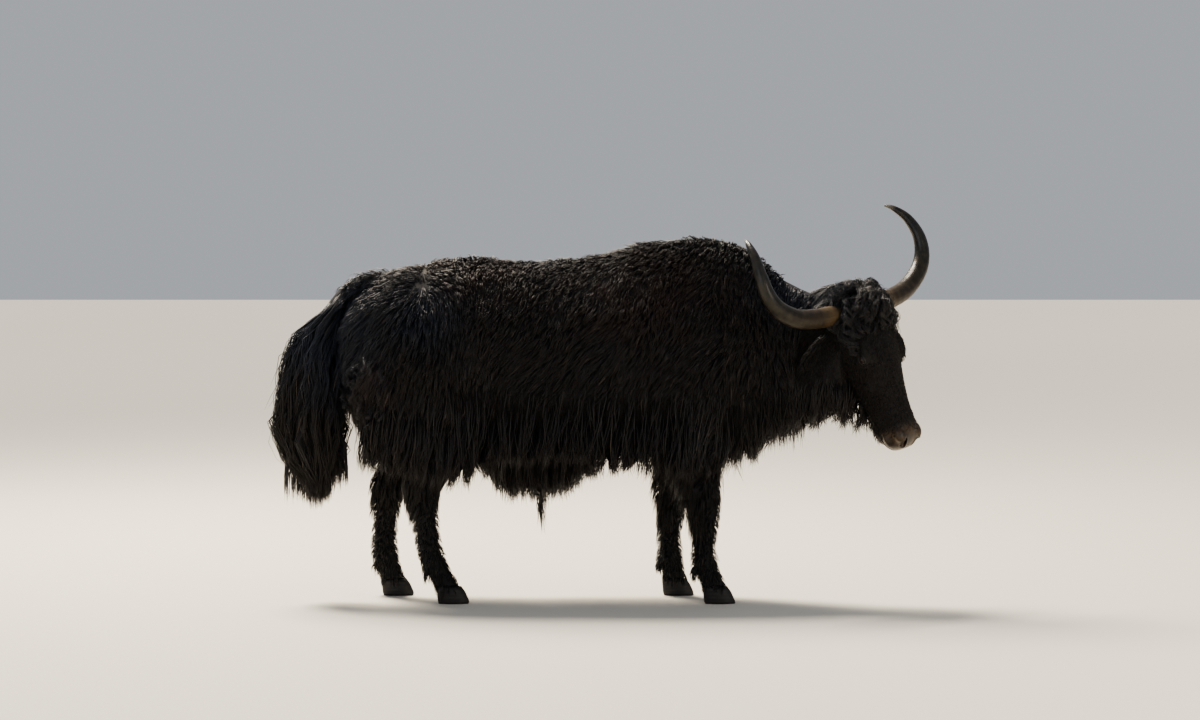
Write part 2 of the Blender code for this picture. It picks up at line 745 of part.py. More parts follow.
def ear(name, mirror, grown=0.0):
    """A leaf-shaped ear with a hollow cup, on a stalk that is sunk in the head."""
    root = on_head(EAR_ROOT.x, mirror * EAR_ROOT.y, EAR_ROOT.z)
    out = UPRIGHT.cross(AHEAD) * mirror
    reach = (out * 0.72 - UPRIGHT * 0.62 - AHEAD * 0.22).normalized()
    face = (AHEAD * 0.80 - UPRIGHT * 0.25 + out * 0.2)
    face = (face - reach * face.dot(reach)).normalized()
    wide = reach.cross(face)
    rings = []
    for share, half, cup, thick in EAR:
        centre = root + reach * (share * (EAR_LENGTH + EAR_SINK) - EAR_SINK)
        if share == 0.0:
            centre -= reach * (2 * grown)
        centre += face * (-0.02 * share * share)
        ring = []
        for k in range(6):
            t = -1 + 2 * k / 5
            back = cup * (0.5 - t * t) + thick / 2 + grown
            ring.append(centre + wide * (t * (half + grown)) - face * back)
        for k in range(6):
            t = 1 - 2 * k / 5
            front = thick / 2 - cup * (0.5 - t * t) + 2 * grown
            ring.append(centre + wide * (0.80 * t * half) + face * front)
        rings.append(ring)
    return loft(name, rings)


def claw(name, x, y, outer):
    """One claw of a cloven hoof, flat on the ground; `outer` is the side it bulges to."""
    rows = [
        (0.000, 0.014, 0.056, 0.0245),
        (0.006, 0.013, 0.058, 0.0255),
        (0.035, 0.006, 0.053, 0.0250),
        (HOOF_TOP - GAP, -0.003, 0.045, 0.0235),
    ]
    rings = []
    for z, shift, long, wide in rows:
        ring = []
        for k in range(10):
            angle = 2 * math.pi * k / 10
            along, across = math.cos(angle), math.sin(angle)
            pinch = 1.0 - 0.30 * max(0.0, along) ** 2
            flat = 1.0 if across * outer > 0 else 0.55
            inset = y + outer * (CLEFT / 2 + wide * 0.55)
            ring.append(Vector((x + shift + long * along, inset + wide * across * pinch * flat, z)))
        rings.append(ring)
    return loft(name, rings)


def eyeball(name, mirror, grown=0.0):
    centre = on_head(EYE.x, mirror * EYE.y, EYE.z)
    return ellipsoid(name, centre, (EYE_RADIUS + grown,) * 3, HEAD_TURNED, segments=12)


def eye_lids(mirror):
    """A low rim round the eye, longer along the face than across it."""
    out = (SIDEWAYS * mirror + ALONG * 0.16 + RAISED * 0.10).normalized()
    long = (ALONG - out * ALONG.dot(out)).normalized()
    high = out.cross(long)
    centre = on_head(EYE.x, mirror * EYE.y, EYE.z) + out * LID_STAND
    count = 14
    rings = []
    for k in range(count):
        angle = 2 * math.pi * k / count
        spoke = long * (LID_LONG * math.cos(angle)) + high * (LID_HIGH * math.sin(angle))
        way = spoke.normalized()
        middle = centre + spoke - out * (0.35 * LID_STAND * math.cos(angle) ** 2)
        rings.append([
            middle + way * (LID_ROUND * math.cos(t)) + out * (LID_ROUND * 1.3 * math.sin(t))
            for t in (2 * math.pi * n / 5 for n in range(5))
        ])
    points = [p for ring in rings for p in ring]
    faces = []
    for i in range(count):
        for k in range(5):
            a, b = i * 5 + k, i * 5 + (k + 1) % 5
            c, d = (a + 5) % (5 * count), (b + 5) % (5 * count)
            faces.append((a, b, d))
            faces.append((a, d, c))
    return outward(object_of("lids", points, faces))


def mouth_line(tree):
    """A wedge that cuts the line of the mouth round the muzzle."""
    rings = []
    middle = on_head(*MOUTH_MIDDLE)
    for k in range(13):
        angle = math.radians(-128 + 256 * k / 12)
        out = ALONG * math.cos(angle) + SIDEWAYS * math.sin(angle)
        drop = RAISED * (-0.012 * (1 - math.cos(angle)))
        hit = tree.ray_cast(middle + drop + out * 0.3, -out)[0]
        rings.append([
            hit + out * 0.012 + RAISED * 0.0052,
            hit - out * 0.008,
            hit + out * 0.012 - RAISED * 0.0052,
        ])
    return loft("mouth", rings)


def nostril(mirror):
    return ellipsoid("nostril", on_head(NOSTRIL.x, mirror * NOSTRIL.y, NOSTRIL.z),
                     (0.015, 0.0095, 0.010), HEAD_TURNED, segments=10)


def lock(root, swell, tip, out, width, thick, grown=0.0):
    """A flat tapered lock that leaves `root`, swells towards `swell` and ends at `tip`."""
    sections = []
    for t, broad in (LONG_LOCK if (tip - root).length > LONG_FROM else SHORT_LOCK):
        centre = root * (1 - t) ** 2 + swell * (2 * t * (1 - t)) + tip * t * t
        way = ((swell - root) * (1 - t) + (tip - swell) * t).normalized()
        across = way.cross(out).normalized()
        over = across.cross(way)
        half, deep = width / 2 * broad + grown, thick / 2 * max(0.25, broad) + grown
        sections.append([
            centre + across * half,
            centre + over * deep,
            centre - across * half,
            centre - over * deep,
        ])
    return loft("lock", sections)


def clump(root, out, way, length, width, curl):
    """A rounded curl of the forelock: a short thick tuft that rolls over at its end."""
    sections = []
    across = way.cross(out).normalized()
    for t, broad in ((0.0, 0.85), (0.36, 1.0), (0.74, 0.78), (1.0, 0.22)):
        centre = root + way * (length * t) + out * (length * 0.30 * math.sin(math.pi * t ** 0.8))
        centre += across * (0.22 * length * math.sin(curl * t * 2.0))
        size = width * broad
        sections.append([
            centre + across * (size * 0.5 * math.cos(a)) + out * (size * 0.36 * math.sin(a))
            for a in (2 * math.pi * n / 5 for n in range(5))
        ])
    return loft("clump", sections)


def tree_of(obj):
    return BVHTree.FromPolygons([v.co for v in obj.data.vertices],
                                [p.vertices for p in obj.data.polygons])


def trimmed(obj, planes, inset):
    """A lock cut back to within its node's planes, or None where little of it is left."""
    mesh = bmesh.new()
    mesh.from_mesh(obj.data)
    halved(mesh, planes, inset)
    keep_one_surface(mesh)
    if len(mesh.verts) < 6 or any(not e.is_manifold for e in mesh.edges):
        mesh.free()
        bpy.data.objects.remove(obj)
        return None
    mesh.to_mesh(obj.data)
    mesh.free()
    return outward(obj)


def at_x(rows, x):
    """The values of a table at x, in a straight line between two of its rows."""
    for a, b in zip(rows, rows[1:]):
        if a[0] <= x <= b[0]:
            t = (x - a[0]) / (b[0] - a[0])
            return [p + (q - p) * t for p, q in zip(a, b)]
    return list(rows[0] if x < rows[0][0] else rows[-1])


def at_height(rows, z):
    """The values of a table whose first column falls, at height z."""
    for a, b in zip(rows, rows[1:]):
        if b[0] <= z <= a[0]:
            t = (a[0] - z) / (a[0] - b[0])
            return [p + (q - p) * t for p, q in zip(a, b)]
    return list(rows[0] if z > rows[0][0] else rows[-1])


class Coat:
    """Collects the locks of one node and fuses those that keep clear of all other nodes."""

    def __init__(self, nodes, name, planes, chance):
        self.node = nodes[name]
        self.name = name
        self.planes = planes
        self.chance = chance
        self.tree = tree_of(self.node)
        self.others = [tree_of(o) for other, o in nodes.items() if other != name]
        self.pieces = []
        self.left_out = 0

    def jitter(self, size):
        return self.chance.uniform(-size, size)

    def hit(self, origin, way):
        point, normal = self.tree.ray_cast(origin, way)[:2]
        return point, normal

    def add(self, make):
        """Adds the piece that make(grown) gives, unless it would touch another node."""
        inset = GAP + self.chance.uniform(0.0005, 0.0030)
        trial = trimmed(make(GAP * 2), self.planes, inset)
        if trial is None:
            return
        touched = any(tree_of(trial).overlap(other) for other in self.others)
        bpy.data.objects.remove(trial)
        piece = None if touched else trimmed(make(0.0), self.planes, inset)
        if piece is None:
            self.left_out += 1
        else:
            self.pieces.append(piece)

    def add_lock(self, origin, aim, tip, width, thick, bulge=0.03, face=None):
        """A lock whose root lies where a ray from `origin` towards `aim` meets the node.

        Its flat side looks along `face`, or out from the flesh.
        """
        point, normal = self.hit(origin, (aim - origin).normalized())
        if point is None:
            self.left_out += 1
            return
        root = point - normal * SINK
        fall = (tip - point).normalized()
        swell = point + (tip - point) * 0.40 + normal * bulge
        swell += fall.cross(normal) * self.jitter(0.020)
        out = face or (normal + (origin - aim).normalized()).normalized()
        self.add(lambda grown: lock(root, swell, tip, out, width, thick, grown))

    def fuse(self):
        fused(self.node, self.pieces)
        print(self.name, "locks", len(self.pieces), "left out", self.left_out)


def flank_locks(coat, first, last):
    """Two overlapping rows of hanging locks on both flanks between two places along x."""
    for side in (RIGHT, LEFT):
        for row, (root_z, lift, spacing, width) in enumerate(FLANK_ROWS):
            x = first + spacing * (0.4 + 0.35 * row)
            while x < last - 0.012:
                here = x + coat.jitter(0.012)
                _, tip_z, wide = at_x(SKIRT, here - 0.018)
                rise = root_z + coat.jitter(0.040)
                origin = Vector((here + 0.012, BODY_Y + side * 0.9, rise))
                aim = Vector((here + 0.012, BODY_Y, rise))
                tip = Vector((
                    here - 0.022 + coat.jitter(0.026),
                    BODY_Y + side * (wide - 0.012 + lift * 0.16 + coat.jitter(0.008)),
                    tip_z + lift + coat.jitter(0.032),
                ))
                coat.add_lock(origin, aim, tip, width * (1 + coat.jitter(0.15)), 0.018,
                              bulge=0.016)
                x += spacing


def belly_locks(coat):
    """The tuft under the belly and its one long thin lock."""
    for x, y, low in TUFT_LOCKS:
        origin = Vector((x, BODY_Y + y * 0.5, 0.30))
        tip = Vector((x - 0.02 + coat.jitter(0.02), BODY_Y + y, low + coat.jitter(0.008)))
        coat.add_lock(origin, origin + Vector((0, 0, 1)), tip, 0.066 + coat.jitter(0.008), 0.024,
                      bulge=0.0, face=Vector((0.25, 1.0 if y > 0 else -1.0, 0.0)))


def throat_locks(coat, first, last):
    """Locks under the chest and the throat, that lie back and down."""
    x = first + 0.02
    while x < last - 0.01:
        _, tip_z, wide = at_x(THROAT, x)
        for across in (-0.85, 0.0, 0.85):
            middle = BODY_Y + NECK_BEND * max(0.0, x - 0.55)
            y = middle + across * wide * 0.9
            origin = Vector((x + 0.02, y, tip_z - 0.10))
            tip = Vector((x - 0.03 + coat.jitter(0.02), y + across * 0.02,
                          tip_z + 0.03 * abs(across) + coat.jitter(0.02)))
            coat.add_lock(origin, Vector((x + 0.02, middle + across * wide * 0.5, tip_z + 0.5)),
                          tip, 0.092 + coat.jitter(0.012), 0.024, bulge=0.0,
                          face=Vector((1.0, across, 0.0)))
        x += 0.085


def mane_locks(coat, rows):
    """Locks on the neck's and shoulders' sides: x, height, fall, length back."""
    for x, z, fall, back in rows:
        for side in (RIGHT, LEFT):
            middle = BODY_Y + NECK_BEND * max(0.0, x - 0.55)
            origin = Vector((x, middle + side * 0.9, z + coat.jitter(0.015)))
            aim = Vector((x, middle, z))
            point, normal = coat.hit(origin, (aim - origin).normalized())
            if point is None:
                continue
            end = Vector((x - back + coat.jitter(0.02), point.y, z - fall + coat.jitter(0.02)))
            under, _ = coat.hit(Vector((end.x, middle + side * 0.9, end.z)),
                                   Vector((0, -side, 0)))
            y = point.y if under is None else under.y
            tip = Vector((end.x, y + side * 0.020, end.z))
            coat.add_lock(origin, aim, tip, 0.100 + coat.jitter(0.014), 0.020, bulge=0.018)


def breech_locks(coat):
    """Locks on the back of both thighs, hanging towards the hocks."""
    for side in (RIGHT, LEFT):
        for x, y, z, tip_x, tip_z in BREECH_LOCKS:
            origin = Vector((x - 0.25, BODY_Y + side * (y + 0.10), z))
            aim = Vector((x + 0.15, BODY_Y + side * y, z))
            tip = Vector((tip_x + coat.jitter(0.012), BODY_Y + side * (y + coat.jitter(0.015)),
                          tip_z + coat.jitter(0.02)))
            coat.add_lock(origin, aim, tip, 0.092 + coat.jitter(0.01), 0.022, bulge=0.012)


def leg_locks(coat, side, rows):
    """Short fringes behind a leg: height, fall, reach back, place across."""
    for z, fall, back, across in rows:
        origin_x = -1.5 if coat.name.startswith("hind") else -0.25
        y = BODY_Y + side * (0.148 + across)
        origin = Vector((origin_x, y, z))
        point, normal = coat.hit(origin, Vector((1, 0, 0)))
        if point is None:
            continue
        tip = point + Vector((-back, side * across * 0.3, -fall))
        coat.add_lock(origin, Vector((1.0, y, z)), tip, 0.056, 0.018, bulge=0.010)


def tail_locks(coat):
    """Locks round the tail, whose tips make its brush."""
    for number, (tip_z, count, rise, share) in enumerate(TAIL_ROWS):
        for k in range(count):
            angle = 2 * math.pi * (k + 0.5 * (number % 2)) / count + coat.jitter(0.12)
            low = tip_z + coat.jitter(0.028)
            z, back, front, wide = at_height(TAIL_COAT, low)
            along, across = math.cos(angle), math.sin(angle)
            size = share * (1 + coat.jitter(0.05))
            tip = Vector(((back + front) / 2 + (front - back) / 2 * along * size,
                          BODY_Y + wide * across * size, low))
            high = min(1.13, low + rise + coat.jitter(0.03))
            z, back, front, wide = at_height(TAIL_COAT, high)
            aim = Vector(((back + front) / 2, BODY_Y, high))
            way = Vector(((front - back) / 2 * along, wide * across, 0.0)).normalized()
            coat.add_lock(aim + way * 0.5, aim, tip, 0.090 + coat.jitter(0.012), 0.024,
                          bulge=0.040)


def forelock_clumps(coat):
    """Curls set close over the brow and the crown, between and below the horns."""
    centre = FORELOCK[0]
    for row, count in enumerate((4, 5, 5, 4)):
        for k in range(count):
            tilt = math.radians(-52 + 33 * row) + coat.jitter(0.08)
            spin = math.radians(-92 + 184 * (k + 0.5) / count) + coat.jitter(0.08)
            out = (ALONG * math.sin(tilt) + RAISED * math.cos(tilt) * math.cos(spin)
                   + SIDEWAYS * math.sin(spin) * math.cos(tilt)).normalized()
            origin = on_head(*centre) + out * 0.5
            point, normal = coat.hit(origin, -out)
            if point is None:
                continue
            down = ALONG * 0.9 - UPRIGHT * 0.5 + SIDEWAYS * (0.5 * math.sin(spin))
            down += SIDEWAYS * coat.jitter(0.6)
            way = (down - normal * down.dot(normal)).normalized()
            root = point - normal * 0.010 - way * 0.030
            length = 0.096 + coat.jitter(0.014)
            width = 0.052 + coat.jitter(0.006)
            curl = coat.chance.choice((-1, 1)) * coat.chance.uniform(0.8, 1.5)
            coat.add(lambda grown: clump(root, normal, way, length, width + grown, curl))


def head_cut():
    """The plane between neck and head: a point and the direction of the head."""
    point = on_head(0.020, 0.0, -0.140)
    return point, (AHEAD * 0.96 - UPRIGHT * 0.10).normalized()


def opposite(face):
    return (face[0], -face[1])


def head_features(head):
    """Lids, mouth and nostrils in the head's flesh."""
    fused(head, [eye_lids(RIGHT), eye_lids(LEFT)])
    cut_away(head, mouth_line(tree_of(head)))
    for side in (RIGHT, LEFT):
        cut_away(head, nostril(side))


def main():
    clear_scene()
    whole = flesh()
    ahead, behind, downward = Vector((1, 0, 0)), Vector((-1, 0, 0)), Vector((0, 0, -1))
    head_face = head_cut()
    neck_face = (Vector((NECK_CUT, 0, 0)), ahead)
    front_face = (Vector((FRONT_CUT, 0, 0)), ahead)
    rear_face = (Vector((REAR_CUT, 0, 0)), behind)
    tail_face = (Vector((TAIL_PLANE, 0, 0)), behind)
    leg_face = (Vector((0, 0, LEG_CUT)), downward)
    sole_face = (Vector((0, 0, HOOF_TOP)), -downward)
    planes = {
        "head": [head_face],
        "neck": [neck_face, opposite(head_face)],
        "tail": [tail_face],
        "shoulders": [front_face, opposite(neck_face)],
        "barrel": [opposite(front_face), opposite(rear_face)],
        "rump": [rear_face, opposite(tail_face)],
    }
    nodes = {}
    for name, faces in planes.items():
        above = [opposite(leg_face)] if name in ("shoulders", "rump") else []
        nodes[name] = kept(whole, name, faces + above)
    head_features(nodes["head"])
    for side, word in ((RIGHT, "right"), (LEFT, "left")):
        for foot, faces, fetlock, hoof_x in (
            ("fore", [front_face, opposite(neck_face)], FORE_FETLOCK_X, FORE_HOOF_X),
            ("hind", [rear_face, opposite(tail_face)], HIND_FETLOCK_X, HIND_HOOF_X),
        ):
            name = f"{foot}leg_{word}"
            half = (Vector((0, BODY_Y, 0)), Vector((0, side, 0)))
            middle = Vector((fetlock[side], BODY_Y + side * FORELEG_Y[1], 0.3))
            planes[name] = [leg_face, sole_face, half, *faces]
            nodes[name] = kept(whole, name, planes[name], middle)
            for part, outer in (("outer", side), ("inner", -side)):
                y = BODY_Y + side * FORELEG_Y[1]
                name = f"claw_{foot}_{word}_{part}"
                nodes[name] = claw(name, hoof_x[side], y, outer)
        for part, make in (("horn", horn), ("ear", ear), ("eye", eyeball)):
            nodes[f"{part}_{word}"] = make(f"{part}_{word}", side)
            cut_away(nodes["head"], make("socket", side, GAP * 3))
    bpy.data.objects.remove(whole)

    chance = random.Random(SEED)
    for name in ("foreleg_right", "foreleg_left", "hindleg_right", "hindleg_left"):
        coat = Coat(nodes, name, planes[name], chance)
        leg_locks(coat, RIGHT if name.endswith("right") else LEFT, LEG_FRINGE[name[:4]])
        coat.fuse()
    coat = Coat(nodes, "tail", planes["tail"], chance)
    tail_locks(coat)
    coat.fuse()
    coat = Coat(nodes, "rump", planes["rump"], chance)
    flank_locks(coat, -0.860, REAR_CUT)
    breech_locks(coat)
    coat.fuse()
    coat = Coat(nodes, "barrel", planes["barrel"], chance)
    flank_locks(coat, REAR_CUT, FRONT_CUT)
    belly_locks(coat)
    coat.fuse()
    coat = Coat(nodes, "shoulders", planes["shoulders"], chance)
    flank_locks(coat, FRONT_CUT, 0.470)
    throat_locks(coat, 0.440, NECK_CUT)
    mane_locks(coat, CHEST_MANE)
    coat.fuse()
    coat = Coat(nodes, "neck", planes["neck"], chance)
    throat_locks(coat, NECK_CUT, 0.850)
    mane_locks(coat, NECK_MANE)
    coat.fuse()
    coat = Coat(nodes, "head", planes["head"], chance)
    forelock_clumps(coat)
    coat.fuse()

    skins = {
        "coat": material("coat", (0.012, 0.011, 0.012), 0.75),
        "face_coat": material("face_coat", (0.020, 0.015, 0.012), 0.7),
        "horn": material("horn", (0.30, 0.27, 0.22), 0.45),
        "claw": material("hoof", (0.06, 0.052, 0.045), 0.6),
        "eye": material("eye", (0.02, 0.012, 0.008), 0.12),
    }
    total = 0
    for name, obj in nodes.items():
        kind = name.split("_")[0]
        kind = "face_coat" if kind in ("head", "ear") else kind
        obj.data.materials.clear()
        obj.data.materials.append(skins.get(kind, skins["coat"]))
        obj.data.name = name
        triangles = sum(len(p.vertices) - 2 for p in obj.data.polygons)
        total += triangles
        print(name, "triangles", triangles)
    print("all triangles", total)


main()
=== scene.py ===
# %% [markdown]
# # A life-size yak bull
# The animal is an adult domestic yak bull, black, in a long loose coat, standing with its head
# lowered and turned to its right. It could be sculpted by hand or scanned. Here it is built as
# a taxidermist builds one: a body form first, one skin over it, then the coat in tufts, and at
# last the hard parts, which are the horns, the hooves and the eyes. That order keeps every tuft
# rooted in a real surface, whatever side it is seen from.

# %% The imported model
import math

import bmesh
import bpy
import numpy as np
from mathutils import Matrix, Vector, kdtree, noise
from mathutils.bvhtree import BVHTree


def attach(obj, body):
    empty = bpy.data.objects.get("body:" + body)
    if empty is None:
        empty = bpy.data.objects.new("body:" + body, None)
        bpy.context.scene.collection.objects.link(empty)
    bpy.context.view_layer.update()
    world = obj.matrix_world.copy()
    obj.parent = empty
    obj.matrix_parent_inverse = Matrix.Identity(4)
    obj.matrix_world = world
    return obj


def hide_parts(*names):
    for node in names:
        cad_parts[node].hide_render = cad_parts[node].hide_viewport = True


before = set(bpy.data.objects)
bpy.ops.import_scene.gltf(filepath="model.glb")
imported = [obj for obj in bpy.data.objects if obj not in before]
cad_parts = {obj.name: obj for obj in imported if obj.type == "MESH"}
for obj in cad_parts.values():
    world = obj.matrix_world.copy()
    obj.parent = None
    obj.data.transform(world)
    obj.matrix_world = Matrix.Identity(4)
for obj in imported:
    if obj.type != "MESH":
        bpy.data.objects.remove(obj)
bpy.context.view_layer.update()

# %% [markdown]
# ## Where the picture was taken from
# The photograph was taken from the yak's right side with a long lens, nearly level. A camera
# far away with a narrow view keeps that flat perspective, and its aim is the point of the
# animal that lies in the middle of the picture.

# %% Camera
BODY_Y = 0.082        # the trunk's middle plane
PICTURE_WIDE = 4.476  # metres of the middle plane across the picture
AWAY = 15.0
HEIGHT_ANGLE = math.radians(3.0)

bpy.ops.object.select_all(action="DESELECT")
aim = Vector((0.0, BODY_Y, 0.895))
stand = aim + Vector((0, -math.cos(HEIGHT_ANGLE), math.sin(HEIGHT_ANGLE))) * AWAY
bpy.ops.object.camera_add(location=stand, rotation=(math.pi / 2 - HEIGHT_ANGLE, 0, 0))
camera = bpy.context.object
camera.name = "camera"
camera.data.sensor_width = 36.0
camera.data.lens = 36.0 * AWAY / PICTURE_WIDE
bpy.context.scene.camera = camera
print("lens", round(camera.data.lens, 1), "mm")

# %% [markdown]
# ## Colours and nodes
# Colours are picked as sRGB hex values, as any paint program shows them, and Blender mixes
# light in linear numbers, so one function turns the first into the second. A second function
# adds a node with its settings and its inputs, so that a material reads as a list.

# %% Colour and node helpers
def colour(code):
    """The linear colour of an sRGB hex code."""
    found = []
    for k in (0, 2, 4):
        level = int(code[k:k + 2], 16) / 255
        found.append(level / 12.92 if level <= 0.04045 else ((level + 0.055) / 1.055) ** 2.4)
    return (*found, 1.0)


def add_node(tree, kind, inputs=None, **settings):
    """Adds a node, sets its settings, and gives its inputs a value or another node's output."""
    made = tree.nodes.new(kind)
    for key, given in settings.items():
        setattr(made, key, given)
    for key, given in (inputs or {}).items():
        if isinstance(given, bpy.types.NodeSocket):
            tree.links.new(given, made.inputs[key])
        else:
            made.inputs[key].default_value = given
    return made


def new_material(name):
    """A material with an empty Principled surface, its node tree and that surface's node."""
    made = bpy.data.materials.new(name)
    made.use_nodes = True
    return made, made.node_tree, made.node_tree.nodes["Principled BSDF"]


# %% [markdown]
# ## Floor
# A museum shows such a model on a plain pale floor. It is a plane far wider than the picture, so
# that no edge shows, in a dull paint whose faint clouds keep it from looking like paper.

# %% Floor
bpy.ops.object.select_all(action="DESELECT")
bpy.ops.mesh.primitive_plane_add(size=60.0, location=(0, 0, 0))
floor = bpy.context.object
floor.name = "studio_floor"
floor_paint, tree, surface = new_material("matte_studio_paint")
speckle = add_node(tree, "ShaderNodeTexNoise", {"Scale": 3.0, "Detail": 4.0})
tint = add_node(tree, "ShaderNodeMix", {0: speckle.outputs["Fac"], 6: colour("c9c4b9"),
                                        7: colour("d6d2c8")}, data_type="RGBA")
tree.links.new(tint.outputs[2], surface.inputs["Base Color"])
surface.inputs["Roughness"].default_value = 0.9
floor.data.materials.append(floor_paint)
print("floor", floor.name)

# %% [markdown]
# ## Light
# The sun stood high behind the yak's back in the photograph, so the back, the rump and the tail
# shine and the near flank stays dark. A strong soft lamp high behind and a sun lamp with a wide
# disc do the same. A weak wide lamp in front and another at the face keep detail in the dark
# side, and a sky of one pale colour fills what is left. Lamps were chosen over a picture of a
# sky, because each can be turned up or down on its own.

# %% Lamps and sky
LAMPS = (
    # name, place, size, power, colour
    ("back_key", (-2.4, 3.4, 5.6), 2.4, 820.0, "fff1dc"),
    ("near_fill", (-3.0, -7.0, 3.4), 4.0, 90.0, "eef2ff"),
    ("head_fill", (4.6, -4.6, 1.8), 2.2, 80.0, "fff6ea"),
)
for name, place, size, power, tint in LAMPS:
    away = Vector((0.1, BODY_Y, 0.8)) - Vector(place)
    bpy.ops.object.light_add(type="AREA", location=place,
                             rotation=away.to_track_quat("-Z", "Y").to_euler())
    lamp = bpy.context.object
    lamp.name = name
    lamp.data.size = size
    lamp.data.energy = power
    lamp.data.color = colour(tint)[:3]
sun_way = Vector((0.30, -0.42, -1.0))
bpy.ops.object.light_add(type="SUN", location=(0, 0, 8),
                         rotation=sun_way.to_track_quat("-Z", "Y").to_euler())
sun = bpy.context.object
sun.name = "soft_sun"
sun.data.energy = 3.6
sun.data.angle = math.radians(14)
sun.data.color = colour("fff4e4")[:3]
world = bpy.data.worlds.new("studio")
world.use_nodes = True
bpy.context.scene.world = world
world.node_tree.nodes["Background"].inputs["Color"].default_value = colour("dfe3ea")
world.node_tree.nodes["Background"].inputs["Strength"].default_value = 0.50
bpy.context.scene.view_settings.view_transform = "AgX"
bpy.context.scene.view_settings.look = "AgX - Medium High Contrast"
print("lamps", len(LAMPS) + 1)

# %% [markdown]
# ## The body form
# Under the coat is a deep, narrow trunk with a high hump over the shoulders, short strong legs
# and a heavy neck. Each mass is a tube of level or upright rings whose sizes are known, so it
# is drawn as a circle that is extruded from station to station and set to each ring's size.
# All rings lie inside the coat by the depth of the hair that grows there.

# %% Sizes of the body form
RIGHT, LEFT = -1, 1
NECK_BEND = -0.36  # metres that the throat moves aside for each metre ahead
# x, top, widest height, bottom, half width, upper and lower roundness
TRUNK = [
    (-0.948, 1.070, 0.950, 0.760, 0.105, 2.0, 2.0),
    (-0.915, 1.140, 0.950, 0.690, 0.170, 2.0, 2.0),
    (-0.845, 1.205, 0.930, 0.640, 0.215, 2.0, 2.2),
    (-0.760, 1.247, 0.920, 0.605, 0.258, 2.0, 2.2),
    (-0.620, 1.276, 0.920, 0.588, 0.280, 2.0, 2.3),
    (-0.460, 1.293, 0.920, 0.582, 0.288, 1.9, 2.3),
    (-0.300, 1.286, 0.900, 0.576, 0.300, 1.9, 2.3),
    (-0.140, 1.286, 0.880, 0.572, 0.312, 1.9, 2.3),
    (0.020, 1.313, 0.870, 0.572, 0.312, 1.8, 2.3),
    (0.160, 1.348, 0.870, 0.575, 0.300, 1.7, 2.3),
    (0.300, 1.368, 0.880, 0.582, 0.284, 1.6, 2.3),
    (0.420, 1.370, 0.890, 0.592, 0.258, 1.6, 2.2),
    (0.530, 1.338, 0.900, 0.604, 0.224, 1.7, 2.2),
    (0.620, 1.275, 0.920, 0.650, 0.176, 1.8, 2.2),
    (0.690, 1.190, 0.940, 0.730, 0.110, 2.0, 2.0),
]
# x, y from the middle plane, z, half height, half width
NECK = [
    (0.400, 0.000, 0.980, 0.355, 0.190),
    (0.540, -0.010, 0.962, 0.330, 0.170),
    (0.660, -0.038, 0.938, 0.292, 0.148),
    (0.770, -0.080, 0.925, 0.250, 0.130),
    (0.870, -0.130, 0.925, 0.222, 0.120),
    (0.920, -0.158, 0.940, 0.190, 0.100),
]
# z, share of the way from elbow to fetlock, lean, half length, half width
FORELEG = [
    (0.800, 0.00, 0.00, 0.105, 0.070),
    (0.680, 0.10, 0.00, 0.092, 0.068),
    (0.570, 0.35, 0.00, 0.073, 0.060),
    (0.450, 0.68, 0.00, 0.060, 0.052),
    (0.350, 0.90, 0.08, 0.055, 0.052),
    (0.300, 0.96, 0.02, 0.049, 0.047),
    (0.240, 1.00, 0.00, 0.040, 0.039),
    (0.180, 1.00, 0.00, 0.040, 0.041),
    (0.145, 1.00, 0.12, 0.046, 0.048),
    (0.100, 1.00, 0.55, 0.043, 0.047),
    (0.064, 1.00, 1.00, 0.050, 0.052),
]
LEG_Y = {"fore": (0.175, 0.140), "hind": (0.190, 0.140)}
FORE_ELBOW_X = {RIGHT: 0.360, LEFT: 0.345}
FORE_FETLOCK_X = {RIGHT: 0.385, LEFT: 0.262}
FORE_LEAN = {RIGHT: 0.040, LEFT: 0.020}
HIND_FETLOCK_X = {RIGHT: -0.600, LEFT: -0.800}
# z, x on the right, x on the left, half length, half width
HINDLEG = [
    (0.900, -0.660, -0.700, 0.185, 0.085),
    (0.740, -0.600, -0.665, 0.165, 0.082),
    (0.620, -0.585, -0.675, 0.118, 0.070),
    (0.520, -0.618, -0.728, 0.080, 0.055),
    (0.440, -0.655, -0.785, 0.066, 0.047),
    (0.390, -0.656, -0.797, 0.053, 0.044),
    (0.320, -0.648, -0.805, 0.044, 0.040),
    (0.250, -0.640, -0.812, 0.042, 0.038),
    (0.190, -0.628, -0.814, 0.043, 0.041),
    (0.150, -0.615, -0.810, 0.048, 0.048),
    (0.100, -0.588, -0.794, 0.044, 0.047),
    (0.064, -0.566, -0.781, 0.050, 0.052),
]
# x, z, half thickness, half width
TAIL = [
    (-0.780, 1.185, 0.048, 0.055),
    (-0.870, 1.180, 0.046, 0.050),
    (-0.955, 1.125, 0.048, 0.050),
    (-1.015, 1.020, 0.052, 0.054),
    (-1.048, 0.900, 0.055, 0.056),
    (-1.062, 0.770, 0.050, 0.050),
    (-1.066, 0.650, 0.036, 0.036),
]
COAT_DEPTH = {"trunk": 0.024, "neck": 0.022, "leg": 0.005, "tail": 0.012, "head": 0.003}


# %% [markdown]
# The tubes of this model share a few steps, and each step is a function: a smooth curve through
# a few known stations, an oval that can be rounder or squarer, a ring that is widest at its own
# height, and the extrusion from ring to ring. A lathe or a skin modifier would be quicker, but
# neither lets the top and the bottom of a ring differ, as a trunk's do.

